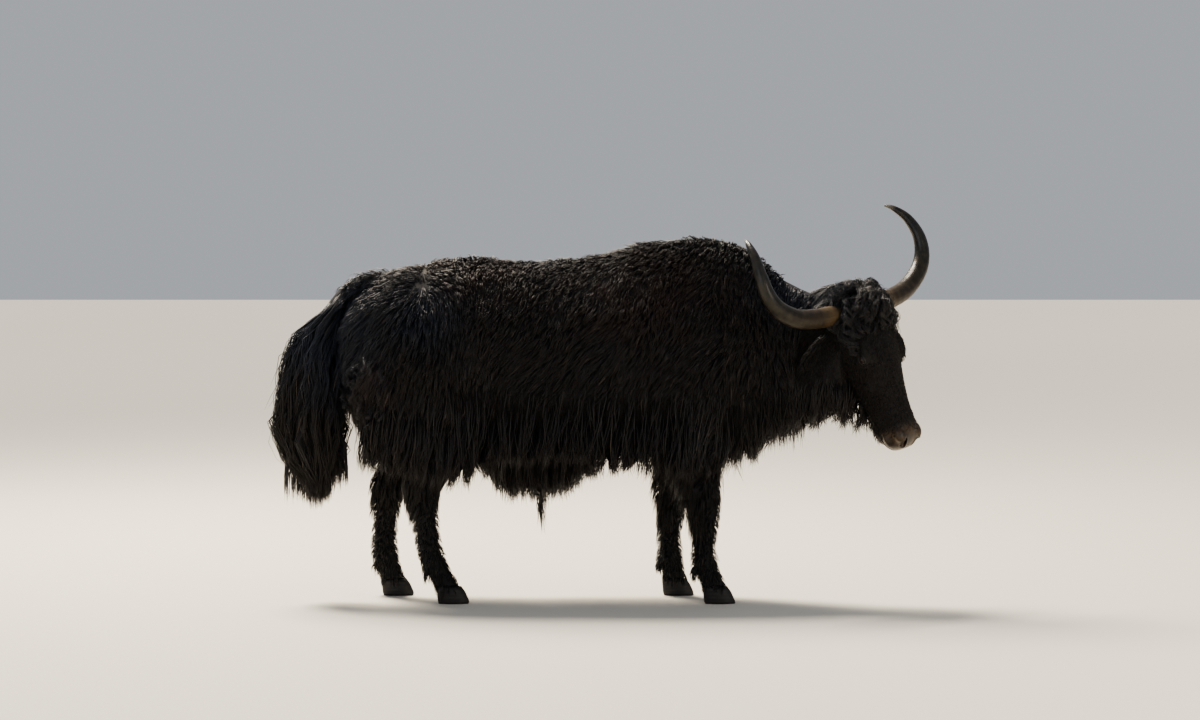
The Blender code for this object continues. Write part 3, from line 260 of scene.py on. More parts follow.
# %% Ring helpers
def through(rows, steps):
    """Values on a smooth curve through the rows, `steps` to each stretch between two rows."""
    ends = [rows[0], *rows, rows[-1]]
    found = []
    for i in range(len(rows) - 1):
        a, b, c, d = ends[i:i + 4]
        for k in range(steps):
            t = k / steps
            found.append(tuple(
                0.5 * (2 * q + (r - p) * t + (2 * p - 5 * q + 4 * r - s) * t * t
                       + (3 * q - p - 3 * r + s) * t ** 3)
                for p, q, r, s in zip(a, b, c, d)
            ))
    return found + [tuple(rows[-1])]


def rounded(angle, power):
    """Cosine and sine bent so that a circle becomes a rounder or squarer oval."""
    c, s = math.cos(angle), math.sin(angle)
    return math.copysign(abs(c) ** (2 / power), c), math.copysign(abs(s) ** (2 / power), s)


def section(top, middle, bottom, half_width, upper, lower, count):
    """Side and height of each point round a ring that is widest at the height `middle`."""
    found = []
    for k in range(count):
        angle = 2 * math.pi * k / count
        across, up = rounded(angle, upper if math.sin(angle) >= 0 else lower)
        found.append((half_width * across,
                      middle + ((top - middle) if up >= 0 else (middle - bottom)) * up))
    return found


def extruded(name, rings):
    """Extrudes a filled circle from ring to ring, and sets each new rim to its ring."""
    bpy.ops.object.select_all(action="DESELECT")
    bpy.ops.mesh.primitive_circle_add(vertices=len(rings[0]), radius=0.1, fill_type="NGON")
    made = bpy.context.object
    made.name = name
    bpy.ops.object.mode_set(mode="EDIT")
    for number, ring in enumerate(rings):
        if number:
            bpy.ops.mesh.extrude_region()
        mesh = bmesh.from_edit_mesh(made.data)
        cap = next(face for face in mesh.faces if face.select)
        for loop, point in zip(cap.loops, ring):
            loop.vert.co = point
        bmesh.update_edit_mesh(made.data)
    bpy.ops.mesh.select_all(action="SELECT")
    bpy.ops.mesh.normals_make_consistent(inside=False)
    bpy.ops.object.mode_set(mode="OBJECT")
    return made


# %% [markdown]
# The trunk is one tube from the buttocks to the chest, the neck another that bends to the right,
# and the dock a third that hangs behind. Legs are upright tubes. The big muscles of shoulder and
# thigh and the brisket are stretched balls pressed into them, as a sculptor adds clay.

# %% Trunk, neck and tail dock
def trunk_form():
    """The trunk from the buttocks to the chest, less the depth of its coat."""
    deep = COAT_DEPTH["trunk"]
    return extruded("trunk_form", [
        [Vector((x, BODY_Y + side, up)) for side, up in
         section(top - deep, middle, bottom + deep, wide - deep, upper, lower, 36)]
        for x, top, middle, bottom, wide, upper, lower in through(TRUNK, 3)
    ])


def neck_form():
    """The neck, whose rings stand across its own bent middle line."""
    deep = COAT_DEPTH["neck"]
    rows = through(NECK, 3)
    path = [Vector((x, BODY_Y + y, z)) for x, y, z, high, wide in rows]
    rings = []
    for i, (x, y, z, high, wide) in enumerate(rows):
        ahead = path[min(i + 1, len(path) - 1)] - path[max(i - 1, 0)]
        side = Vector((ahead.x, ahead.y, 0)).normalized().cross(Vector((0, 0, 1)))
        rings.append([
            path[i] + side * across + Vector((0, 0, up)) for across, up in
            section(high - deep, -0.25 * high, deep - high, wide - deep, 1.7, 2.0, 28)
        ])
    return extruded("neck_form", rings)


def swept(name, path, sizes, count, up):
    """A tube along a path with a half height and a half width at each point."""
    rings = []
    for i, centre in enumerate(path):
        ahead = (path[min(i + 1, len(path) - 1)] - path[max(i - 1, 0)]).normalized()
        side = ahead.cross(up).normalized()
        rise = side.cross(ahead)
        high, wide = sizes[i]
        rings.append([
            centre + side * (wide * math.cos(a)) + rise * (high * math.sin(a))
            for a in (2 * math.pi * k / count for k in range(count))
        ])
    return extruded(name, rings)


def tail_form():
    """The fleshy dock inside the tail's brush."""
    rows = through(TAIL, 3)
    deep = COAT_DEPTH["tail"]
    return swept("tail_form", [Vector((x, BODY_Y, z)) for x, z, thick, wide in rows],
                 [(thick - deep, wide - deep) for x, z, thick, wide in rows], 16,
                 Vector((-0.5, 0, 0.8)))


def leg_form(kind, side):
    """One leg from inside the trunk to the coronet, as level ovals."""
    rings = []
    above, below = LEG_Y[kind]
    rows = FORELEG if kind == "fore" else HINDLEG
    for row in through(rows, 3):
        z, long, wide = row[0], row[3] - COAT_DEPTH["leg"], row[4] - COAT_DEPTH["leg"]
        if kind == "fore":
            share = row[1]
            x = FORE_ELBOW_X[side] + (FORE_FETLOCK_X[side] - FORE_ELBOW_X[side]) * share
            x += FORE_LEAN[side] * row[2]
        else:
            share = min(1.0, (rows[0][0] - z) / (rows[0][0] - rows[-1][0]) * 1.6)
            x = row[1] if side == RIGHT else row[2]
        y = BODY_Y + side * (above + (below - above) * share)
        rings.append([
            Vector((x + long * along, y + wide * across, z))
            for along, across in (rounded(2 * math.pi * k / 20, 2.1) for k in range(20))
        ])
    return extruded(f"{kind}leg_form", rings)


def ball(place, radii, segments, ring_count):
    """A ball stretched by its three radii and put where the matrix says."""
    bpy.ops.object.select_all(action="DESELECT")
    bpy.ops.mesh.primitive_uv_sphere_add(segments=segments, ring_count=ring_count, radius=1.0)
    made = bpy.context.object
    made.data.transform(place @ Matrix.Diagonal((*radii, 1.0)))
    return made


# place with y from the middle plane, radii
BRISKET = ((0.520, 0.000, 0.690), (0.130, 0.130, 0.125))
SHOULDER = ((0.350, 0.190, 0.860), (0.170, 0.085, 0.270))
THIGH = ((-0.700, 0.185, 0.840), (0.205, 0.090, 0.250))


def muscle(place, radii, side):
    """A ball for a muscle on one side of the body, less the coat over it."""
    return ball(Matrix.Translation((place[0], BODY_Y + side * place[1], place[2])),
                [radius - COAT_DEPTH["trunk"] for radius in radii], 32, 20)


forms = [trunk_form(), neck_form(), tail_form(), muscle(*BRISKET, RIGHT)]
for side in (RIGHT, LEFT):
    forms.append(muscle(*SHOULDER, side))
    forms.append(muscle(*THIGH, side))
for side in (RIGHT, LEFT):
    forms.append(leg_form("fore", side))
    forms.append(leg_form("hind", side))
print("body forms", len(forms))

# %% [markdown]
# ## The head form
# A yak's head is long and wedge-shaped, wide between the horns and narrow before the muzzle,
# with a heavy jaw. It has its own axes, because it is turned about 43 degrees to the right and
# hangs steeply. Rings give the wedge, and small stretched balls the masses that a sculptor
# would press on: brows, cheeks, lips, chin and the wings of the nostrils.

# %% Head axes and sizes
POLL = Vector((0.940, -0.140 + BODY_Y, 1.108))
HEAD_TURN = math.radians(-43)
HEAD_PITCH = math.radians(71)
HEAD_TILT = math.radians(8.4)
AHEAD = Vector((math.cos(HEAD_TURN), math.sin(HEAD_TURN), 0))
level_left = Vector((-math.sin(HEAD_TURN), math.cos(HEAD_TURN), 0))
SIDEWAYS = level_left * math.cos(HEAD_TILT) + Vector((0, 0, 1)) * math.sin(HEAD_TILT)
UPRIGHT = Vector((0, 0, 1)) * math.cos(HEAD_TILT) - level_left * math.sin(HEAD_TILT)
ALONG = AHEAD * math.cos(HEAD_PITCH) - UPRIGHT * math.sin(HEAD_PITCH)
RAISED = AHEAD * math.sin(HEAD_PITCH) + UPRIGHT * math.cos(HEAD_PITCH)
HEAD_TURNED = Matrix((ALONG, SIDEWAYS, RAISED)).transposed()
# distance from the poll, top, widest height, bottom, half width, upper and lower roundness
SKULL = [
    (-0.090, 0.020, -0.070, -0.160, 0.080, 2.0, 2.0),
    (-0.050, 0.048, -0.060, -0.195, 0.106, 2.2, 2.2),
    (0.000, 0.070, -0.035, -0.205, 0.119, 2.4, 2.2),
    (0.060, 0.084, -0.015, -0.205, 0.124, 2.5, 2.2),
    (0.130, 0.092, 0.000, -0.198, 0.119, 2.5, 2.0),
    (0.200, 0.090, 0.006, -0.180, 0.108, 2.4, 2.0),
    (0.270, 0.081, 0.006, -0.152, 0.090, 2.2, 2.0),
    (0.340, 0.073, 0.002, -0.122, 0.075, 2.2, 2.0),
    (0.400, 0.069, 0.000, -0.100, 0.066, 2.2, 2.1),
    (0.450, 0.069, -0.004, -0.087, 0.064, 2.3, 2.2),
    (0.495, 0.065, -0.004, -0.080, 0.068, 2.4, 2.3),
    (0.530, 0.051, -0.006, -0.071, 0.064, 2.4, 2.3),
    (0.552, 0.030, -0.008, -0.054, 0.049, 2.3, 2.3),
    (0.562, 0.008, -0.010, -0.034, 0.024, 2.0, 2.0),
]
# centre (along, side, up), radii
MASSES = [
    ((0.190, 0.086, 0.058), (0.056, 0.028, 0.023)),   # brow
    ((0.120, 0.070, -0.105), (0.100, 0.040, 0.082)),  # cheek
    ((0.275, 0.066, 0.000), (0.075, 0.022, 0.020)),   # face crest
    ((0.512, 0.046, 0.032), (0.032, 0.024, 0.022)),   # wing of the nostril
    ((0.505, 0.040, -0.022), (0.046, 0.031, 0.024)),  # upper lip
    ((0.478, 0.020, -0.070), (0.050, 0.034, 0.022)),  # chin
    ((0.000, 0.105, -0.010), (0.048, 0.033, 0.040)),  # horn boss
]
EYE = Vector((0.208, 0.103, 0.042))
EYE_RADIUS = 0.0190
EAR_ROOT = Vector((0.082, 0.110, -0.074))
EAR_LENGTH = 0.165
EAR_SINK = 0.024
# share of the length, half width, depth of the cup, thickness
EAR = [
    (0.00, 0.024, 0.018, 0.028),
    (0.18, 0.028, 0.020, 0.024),
    (0.36, 0.038, 0.024, 0.014),
    (0.56, 0.041, 0.022, 0.011),
    (0.76, 0.032, 0.015, 0.010),
    (0.92, 0.017, 0.006, 0.009),
    (1.00, 0.006, 0.002, 0.006),
]


def on_head(along, side, up):
    """A point of the head's own axes in the world."""
    return POLL + ALONG * along + SIDEWAYS * side + RAISED * up


# %% [markdown]
# The skull's rings are set in the head's own axes, so the head can be turned as a whole. An ear
# is a thin cupped leaf: each of its rings runs up one side and down the other, and the rings are
# placed from the root to the tip. The small dewclaws above the hooves are added here too, because
# they are part of the same skin.

# %% Skull, masses and ears
def skull_form():
    """The wedge of the head from the nape to the lips."""
    deep = COAT_DEPTH["head"]
    return extruded("skull_form", [
        [on_head(along, side, up) for side, up in
         section(top - deep, middle, bottom + deep, wide - deep, upper, lower, 36)]
        for along, top, middle, bottom, wide, upper, lower in through(SKULL, 4)
    ])


def mass_form(centre, radii, side):
    """A ball stretched along the head's axes."""
    place = Matrix.Translation(on_head(centre[0], side * centre[1], centre[2]))
    return ball(place @ HEAD_TURNED.to_4x4(), radii, 24, 16)


def ear_axes(side):
    """The ear's root, its reach from root to tip, the way its cup faces, and its width."""
    out = UPRIGHT.cross(AHEAD) * side
    reach = (out * 0.72 - UPRIGHT * 0.62 - AHEAD * 0.22).normalized()
    face = AHEAD * 0.80 - UPRIGHT * 0.25 + out * 0.2
    face = (face - reach * face.dot(reach)).normalized()
    return on_head(EAR_ROOT.x, side * EAR_ROOT.y, EAR_ROOT.z), reach, face, reach.cross(face)


def ear_form(side):
    """One ear, a cupped leaf whose root is sunk in the head."""
    root, reach, face, wide = ear_axes(side)
    rings = []
    for share, half, cup, thick in through(EAR, 3):
        centre = root + reach * (share * (EAR_LENGTH + EAR_SINK) - EAR_SINK)
        centre += face * (-0.02 * share * share)
        ring = []
        for k in range(9):
            t = -1 + k / 4
            ring.append(centre + wide * (t * half) - face * (cup * (0.5 - t * t) + thick / 2))
        for k in range(9):
            t = 1 - k / 4
            ring.append(centre + wide * (0.82 * t * half)
                        + face * (thick / 2 - cup * (0.5 - t * t)))
        rings.append(ring)
    return extruded("ear_form", rings)


forms.append(skull_form())
for side in (RIGHT, LEFT):
    forms.append(ear_form(side))
    for centre, radii in MASSES:
        forms.append(mass_form(centre, radii, side))
DEWCLAW = (0.013, 0.011, 0.019)      # radii
DEWCLAW_AT = (0.042, 0.021, 0.118)   # behind the fetlock, off its middle, height
for side in (RIGHT, LEFT):
    for x in (FORE_FETLOCK_X[side] + 0.005, HIND_FETLOCK_X[side]):
        for off in (-DEWCLAW_AT[1], DEWCLAW_AT[1]):
            y = BODY_Y + side * LEG_Y["fore"][1] + off
            place = Matrix.Translation((x - DEWCLAW_AT[0], y, DEWCLAW_AT[2]))
            forms.append(ball(place, DEWCLAW, 16, 10))
print("forms with the head's", len(forms))

# %% [markdown]
# ## One skin
# The forms overlap like clay pellets. A voxel remesh melts them into one closed surface, a
# smoothing pass blends the joins, and a weighted decimation gives up points on the trunk, where
# the coat hides them, and keeps them on the head, where it doesn't.

# %% Fuse the forms
def select_only(made):
    """Selects one object and makes it the active one."""
    bpy.ops.object.select_all(action="DESELECT")
    made.select_set(True)
    bpy.context.view_layer.objects.active = made


def apply_all(made):
    """Applies an object's modifiers in their order."""
    select_only(made)
    for change in list(made.modifiers):
        bpy.ops.object.modifier_apply(modifier=change.name)


FUSE_GRAIN = 0.0058  # side of a voxel
bpy.ops.object.select_all(action="DESELECT")
for form in forms:
    form.select_set(True)
bpy.context.view_layer.objects.active = forms[0]
bpy.ops.object.join()
skin = bpy.context.object
skin.name = "yak_skin"
fuse = skin.modifiers.new("fuse", "REMESH")
fuse.mode = "VOXEL"
fuse.voxel_size = FUSE_GRAIN
blend = skin.modifiers.new("blend", "SMOOTH")
blend.factor = 0.5
blend.iterations = 8
apply_all(skin)
print("fused skin", len(skin.data.polygons), "faces")

# %% [markdown]
# Coarse triangles do no harm where long hair hides them, but on the head they would show. A
# vertex group tells the decimation which points it may give up: all those behind a plane between
# neck and head.

# %% Keep the head fine
HEAD_POINT = on_head(0.020, 0.0, -0.140)
HEAD_WAY = (AHEAD * 0.96 - UPRIGHT * 0.10).normalized()


def coordinates(mesh):
    """A mesh's points as an array."""
    found = np.empty(len(mesh.vertices) * 3)
    mesh.vertices.foreach_get("co", found)
    return found.reshape(-1, 3)


def ahead_of_neck(points):
    """How far points lie on the head's side of the plane between neck and head."""
    return (points - np.array(HEAD_POINT)) @ np.array(HEAD_WAY)


KEPT_SHARE = 0.36  # of the triangles
points = coordinates(skin.data)
coarse = skin.vertex_groups.new(name="coarse")
coarse.add(np.flatnonzero(ahead_of_neck(points) < 0).tolist(), 1.0, "REPLACE")
thin = skin.modifiers.new("thin", "DECIMATE")
thin.ratio = KEPT_SHARE
thin.vertex_group = "coarse"
thin.vertex_group_factor = 2.0
apply_all(skin)
skin.vertex_groups.clear()
print("skin", sum(len(p.vertices) - 2 for p in skin.data.polygons), "triangles")

# %% [markdown]
# ## Eyelids, nostrils and mouth
# The skin has enough points on the head but not around these small openings, so the faces there
# are subdivided first. Then each opening is a rule about distance: points inside the almond of
# the eye go in behind the eyeball, and those round it wrap over the ball as lids. The nostril is
# a comma pressed into the muzzle with a raised wing, the mouth a groove with two lips.

# %% Finer faces at the openings
LID_LONG, LID_HIGH = 0.0190, 0.0105
LID_THICK = 0.0026
NOSTRIL = Vector((0.544, 0.036, 0.026))
MOUTH_MIDDLE = (0.490, 0.0, -0.044)


def eye_axes(side):
    """The eyeball's middle, the way it looks, and the long and the high way of its lids."""
    out = (SIDEWAYS * side + ALONG * 0.16 + RAISED * 0.10).normalized()
    long = (ALONG - out * ALONG.dot(out)).normalized()
    return on_head(EYE.x, side * EYE.y, EYE.z), out, long, long.cross(out) * side


def lid_places(points, side):
    """Each point's height over the eye's middle, its two ways along the lids, and its share of
    the way to their edge, 1 on the edge itself."""
    centre, out, long, high = (np.array(v) for v in eye_axes(side))
    off = points - centre
    stand, u, v = off @ out, off @ long, off @ high
    arch = np.sqrt(np.clip(1 - (u / LID_LONG) ** 2, 0.0, 1.0))
    share = np.where(arch > 0.02, np.abs(v) / (LID_HIGH * np.maximum(arch, 0.02)), 9.0)
    return stand, u, v, share


def mouth_path(mesh_tree):
    """Points of the mouth's line on the skin, from one corner round the front to the other."""
    middle = on_head(*MOUTH_MIDDLE)
    found = []
    for k in range(49):
        angle = math.radians(-128 + 256 * k / 48)
        out = ALONG * math.cos(angle) + SIDEWAYS * math.sin(angle)
        drop = RAISED * (-0.012 * (1 - math.cos(angle)))
        found.append(mesh_tree.ray_cast(middle + drop + out * 0.3, -out)[0])
    return np.array([tuple(point) for point in found])


def finer(chosen, cuts):
    """Subdivides the faces whose points are all chosen."""
    select_only(skin)
    bpy.ops.object.mode_set(mode="EDIT")
    bpy.ops.mesh.select_mode(type="VERT")
    bpy.ops.mesh.select_all(action="DESELECT")
    bpy.ops.object.mode_set(mode="OBJECT")
    skin.data.vertices.foreach_set("select", chosen)
    bpy.ops.object.mode_set(mode="EDIT")
    bpy.ops.mesh.subdivide(number_cuts=cuts)
    bpy.ops.object.mode_set(mode="OBJECT")


head_tree = BVHTree.FromObject(skin, bpy.context.evaluated_depsgraph_get())
mouth = mouth_path(head_tree)


def distance_to(points, path):
    """Distance from each point to the nearest point of a path."""
    best = np.full(len(points), 9.0)
    for spot in path:
        best = np.minimum(best, np.linalg.norm(points - spot, axis=1))
    return best


for cuts, reach in ((1, 0.036), (1, 0.032)):
    points = coordinates(skin.data)
    near = distance_to(points, mouth) < reach * 0.45
    for side in (RIGHT, LEFT):
        near |= np.linalg.norm(points - np.array(eye_axes(side)[0]), axis=1) < reach + 0.004
        opening = on_head(NOSTRIL.x, side * NOSTRIL.y, NOSTRIL.z)
        near |= np.linalg.norm(points - np.array(opening), axis=1) < reach * 0.75
    finer(near, cuts)
print("finer skin", len(skin.data.polygons), "faces")

# %% [markdown]
# Lids, nostrils and lips are pressed into the finer faces by moving their points. A brush in
# sculpt mode would do it by hand. A rule about distance does the same each time the script runs,
# and the same on both sides.

# %% Shape the openings
points = coordinates(skin.data)
for side in (RIGHT, LEFT):
    stand, u, v, share = lid_places(points, side)
    round_axis = np.hypot(u, v)
    near = (round_axis < 0.040) & (stand > -0.012)
    lid = EYE_RADIUS + LID_THICK - round_axis ** 2 / (2 * (EYE_RADIUS + LID_THICK))
    crease = 0.0022 * np.exp(-((share - 1.75) / 0.22) ** 2) * (v > 0)
    bag = 0.0012 * np.exp(-((share - 1.9) / 0.30) ** 2) * (v < 0)
    fade = np.clip((0.038 - round_axis) / 0.020, 0.0, 1.0)
    fade = fade * fade * (3 - 2 * fade)
    wrapped = stand * (1 - fade) + np.maximum(stand, lid) * fade - (crease + bag) * fade
    behind = np.sqrt(np.clip(EYE_RADIUS ** 2 - round_axis ** 2, 0.0, 1.0)) - 0.006
    level = np.where(share < 1.0, behind, wrapped)
    points[near] += (level - stand)[near, None] * np.array(eye_axes(side)[1])

    centre = np.array(on_head(NOSTRIL.x, side * NOSTRIL.y, NOSTRIL.z))
    out = np.array((ALONG * 0.80 + SIDEWAYS * side * 0.50 + RAISED * 0.15).normalized())
    up = np.array((RAISED * 0.85 + SIDEWAYS * side * 0.50).normalized())
    across = np.cross(out, up)
    off = points - centre
    u, v = off @ up, off @ across
    bend = v - 9.0 * u * u * side
    ring = np.hypot(u / 0.0150, bend / 0.0085)
    near = (np.linalg.norm(off, axis=1) < 0.034)
    push = -0.017 * np.clip(1.15 - ring, 0, 1) ** 0.6
    push = push + 0.0030 * np.exp(-((ring - 1.5) / 0.28) ** 2)
    points[near] += push[near, None] * out
away = distance_to(points, mouth)
inside = np.array(on_head(0.470, 0.0, -0.040))
inward = inside - points
inward /= np.linalg.norm(inward, axis=1)[:, None] + 1e-9
groove = 0.0060 * np.exp(-(away / 0.0024) ** 2)
groove = groove - 0.0018 * np.exp(-((away - 0.0075) / 0.0035) ** 2)
close = away < 0.020
points[close] += groove[close, None] * inward[close]
skin.data.vertices.foreach_set("co", points.reshape(-1))
skin.data.update()
print("mouth", round(float(np.linalg.norm(np.diff(mouth, axis=0), axis=1).sum()), 3), "m round")

# %% [markdown]
# ## How the hair lies
# On a real animal every hair leaves the skin at a slant and all neighbours agree on a way. On
# the trunk it runs backwards and down, on the legs straight down, on the face towards the
# muzzle. A tuft here follows a guide: the guide walks over the skin along that way and rises
# slowly from it, and where the skin turns under the belly it lets go and hangs.

# %% The skin as triangles
select_only(skin)
bpy.ops.object.mode_set(mode="EDIT")
bpy.ops.mesh.select_all(action="SELECT")
bpy.ops.uv.smart_project(angle_limit=math.radians(60), island_margin=0.002)
bpy.ops.object.mode_set(mode="OBJECT")
skin.data.uv_layers[0].name = "OFBake"

skin.data.calc_loop_triangles()
triangles = skin.data.loop_triangles
corner = np.empty(len(triangles) * 3, dtype=np.int32)
loops = np.empty(len(triangles) * 3, dtype=np.int32)
triangles.foreach_get("vertices", corner)
triangles.foreach_get("loops", loops)
points = coordinates(skin.data)
shading = np.empty(len(points) * 3)
skin.data.vertices.foreach_get("normal", shading)
shading = shading.reshape(-1, 3)[corner].reshape(-1, 3, 3)
flat_uv = np.empty(len(skin.data.loops) * 2)
skin.data.uv_layers["OFBake"].data.foreach_get("uv", flat_uv)
flat_uv = flat_uv.reshape(-1, 2)[loops].reshape(-1, 3, 2)
corners_at = points[corner].reshape(-1, 3, 3)
middles = corners_at.mean(axis=1)
edge_one = corners_at[:, 1] - corners_at[:, 0]
edge_two = corners_at[:, 2] - corners_at[:, 0]
areas = np.linalg.norm(np.cross(edge_one, edge_two), axis=1) / 2
surface_tree = BVHTree.FromPolygons([tuple(p) for p in points], corner.reshape(-1, 3).tolist())
print("skin area", round(float(areas.sum()), 2), "square metres")

# %% [markdown]
# Hair differs from place to place, so the skin is divided once: head, ears, trunk, legs, tail
# and hooves. Each region is a yes or no for every triangle, found from where its middle lies.

# %% Regions of the skin
in_head = ahead_of_neck(middles) > 0
in_tail = (middles[:, 0] < -0.952) & ~in_head
in_legs = (middles[:, 2] < 0.555) & ~in_head & ~in_tail
in_trunk = ~in_head & ~in_tail & ~in_legs
in_hoof = middles[:, 2] < 0.066
head_along = (middles - np.array(POLL)) @ np.array(ALONG)
head_raised = (middles - np.array(POLL)) @ np.array(RAISED)
in_ear = np.zeros(len(middles), dtype=bool)
for side in (RIGHT, LEFT):
    root, reach, face, wide = (np.array(v) for v in ear_axes(side))
    off = middles - root
    past = off @ reach
    in_ear |= (past > 0.006) & (np.linalg.norm(off - past[:, None] * reach, axis=1) < 0.055)
print("triangles", in_head.sum(), "head", in_tail.sum(), "tail", in_legs.sum(), "legs",
      in_ear.sum(), "ears")

# %% [markdown]
# Growing hair takes three steps. Roots are scattered so that each square centimetre gets its
# share. Guides with roots of their own walk over the skin along the lie of the coat. Every tuft
# then starts at its own root and leans towards the nearest guide, which gives locks. Blender's
# own hair would do this too, but the model has to be plain meshes, so the steps are written out.
# Both sources of chance get a seed, so that the same coat grows each time.

# %% Scatter and guides
# the vector noise would start from the clock, and the coat would differ from run to run
NOISE_SEED = 1795573414
noise.seed_set(NOISE_SEED)
chance = np.random.default_rng(12)


def scatter(chosen, count, weight=None):
    """Evenly spread random roots on the chosen triangles: their place, normal and flat place."""
    load = areas * chosen if weight is None else areas * chosen * weight
    edges = np.cumsum(load)
    picks = np.searchsorted(edges, (np.arange(count) + chance.random(count)) / count * edges[-1])
    picks = np.minimum(picks, len(areas) - 1)
    a, b = chance.random((2, count))
    over = a + b > 1
    a[over], b[over] = 1 - a[over], 1 - b[over]
    share = np.stack([1 - a - b, a, b], axis=1)[:, :, None]
    normal = (shading[picks] * share).sum(axis=1)
    normal /= np.linalg.norm(normal, axis=1)[:, None] + 1e-9
    return (corners_at[picks] * share).sum(axis=1), normal, (flat_uv[picks] * share).sum(axis=1)


def walked(root, normal, way, length, rise, steps, hang=True):
    """A guide over the skin: its points from the root to the tip."""
    place = Vector(root)
    up = Vector(normal)
    found = [place.copy()]
    loose = False
    for k in range(1, steps + 1):
        if not loose:
            flow = way(place, up)
            flow -= up * flow.dot(up)
            if flow.length < 0.05:
                flow = Vector((-1, 0, 0)) - up * -up.x
            flow.normalize()
            place = place + flow * (length / steps)
            near, turned, index, far = surface_tree.find_nearest(place)
            if hang and turned.z < -0.25:
                loose = True
                found.append(place + up * 0.004 + Vector((0, 0, -0.004)))
            else:
                place, up = near, turned
                found.append(near + turned * (rise * math.sqrt(k / steps)))
        else:
            found.append(found[-1] + Vector((0, 0, -length / steps)))
    return [tuple(p) for p in found]


def follow(roots, guide_paths, clump, wave, spread):
    """Paths of tufts that start at their own roots and run together with the nearest guide."""
    roots = np.asarray(roots)
    tree = kdtree.KDTree(len(guide_paths))
    for i, path in enumerate(guide_paths):
        tree.insert(path[0], i)
    tree.balance()
    owner = np.array([tree.find(p)[1] for p in roots])
    chosen = guide_paths[owner]
    steps = guide_paths.shape[1]
    t = np.linspace(0, 1, steps)[None, :, None]
    off = (roots - chosen[:, 0])[:, None, :]
    scale = 1 - spread * chance.random((len(roots), 1, 1))
    paths = chosen[:, :1] + (chosen - chosen[:, :1]) * scale
    paths = paths + off * (1 - clump * t ** 0.8)
    phase = chance.random((len(roots), 1, 3)) * 2 * math.pi
    paths = paths + np.sin(phase + 5.0 * t) * wave * t
    paths[:, 0] = roots
    return paths


# %% [markdown]
# A tuft is a thin three-sided spike that bends along its path. Tens of thousands of objects
# would be slow, so a whole region's tufts are one mesh, filled in at once from arrays. For the
# material each point stores how far along its tuft it lies, a random number of its tuft, and a
# place for fine streaks. Each tuft also gets a small patch of the flat map OFBake, at its root's
# place on the flat skin.

# %% Tufts as one mesh
PATCH = 0.003  # side of a tuft's own patch of the flat skin


def store(mesh, name, numbers):
    """Stores a number, or three, on each point of a mesh."""
    numbers = np.asarray(numbers, dtype=np.float32)
    kind, key = ("FLOAT", "value") if numbers.ndim == 1 else ("FLOAT_VECTOR", "vector")
    mesh.attributes.new(name, kind, "POINT").data.foreach_set(key, numbers.reshape(-1))


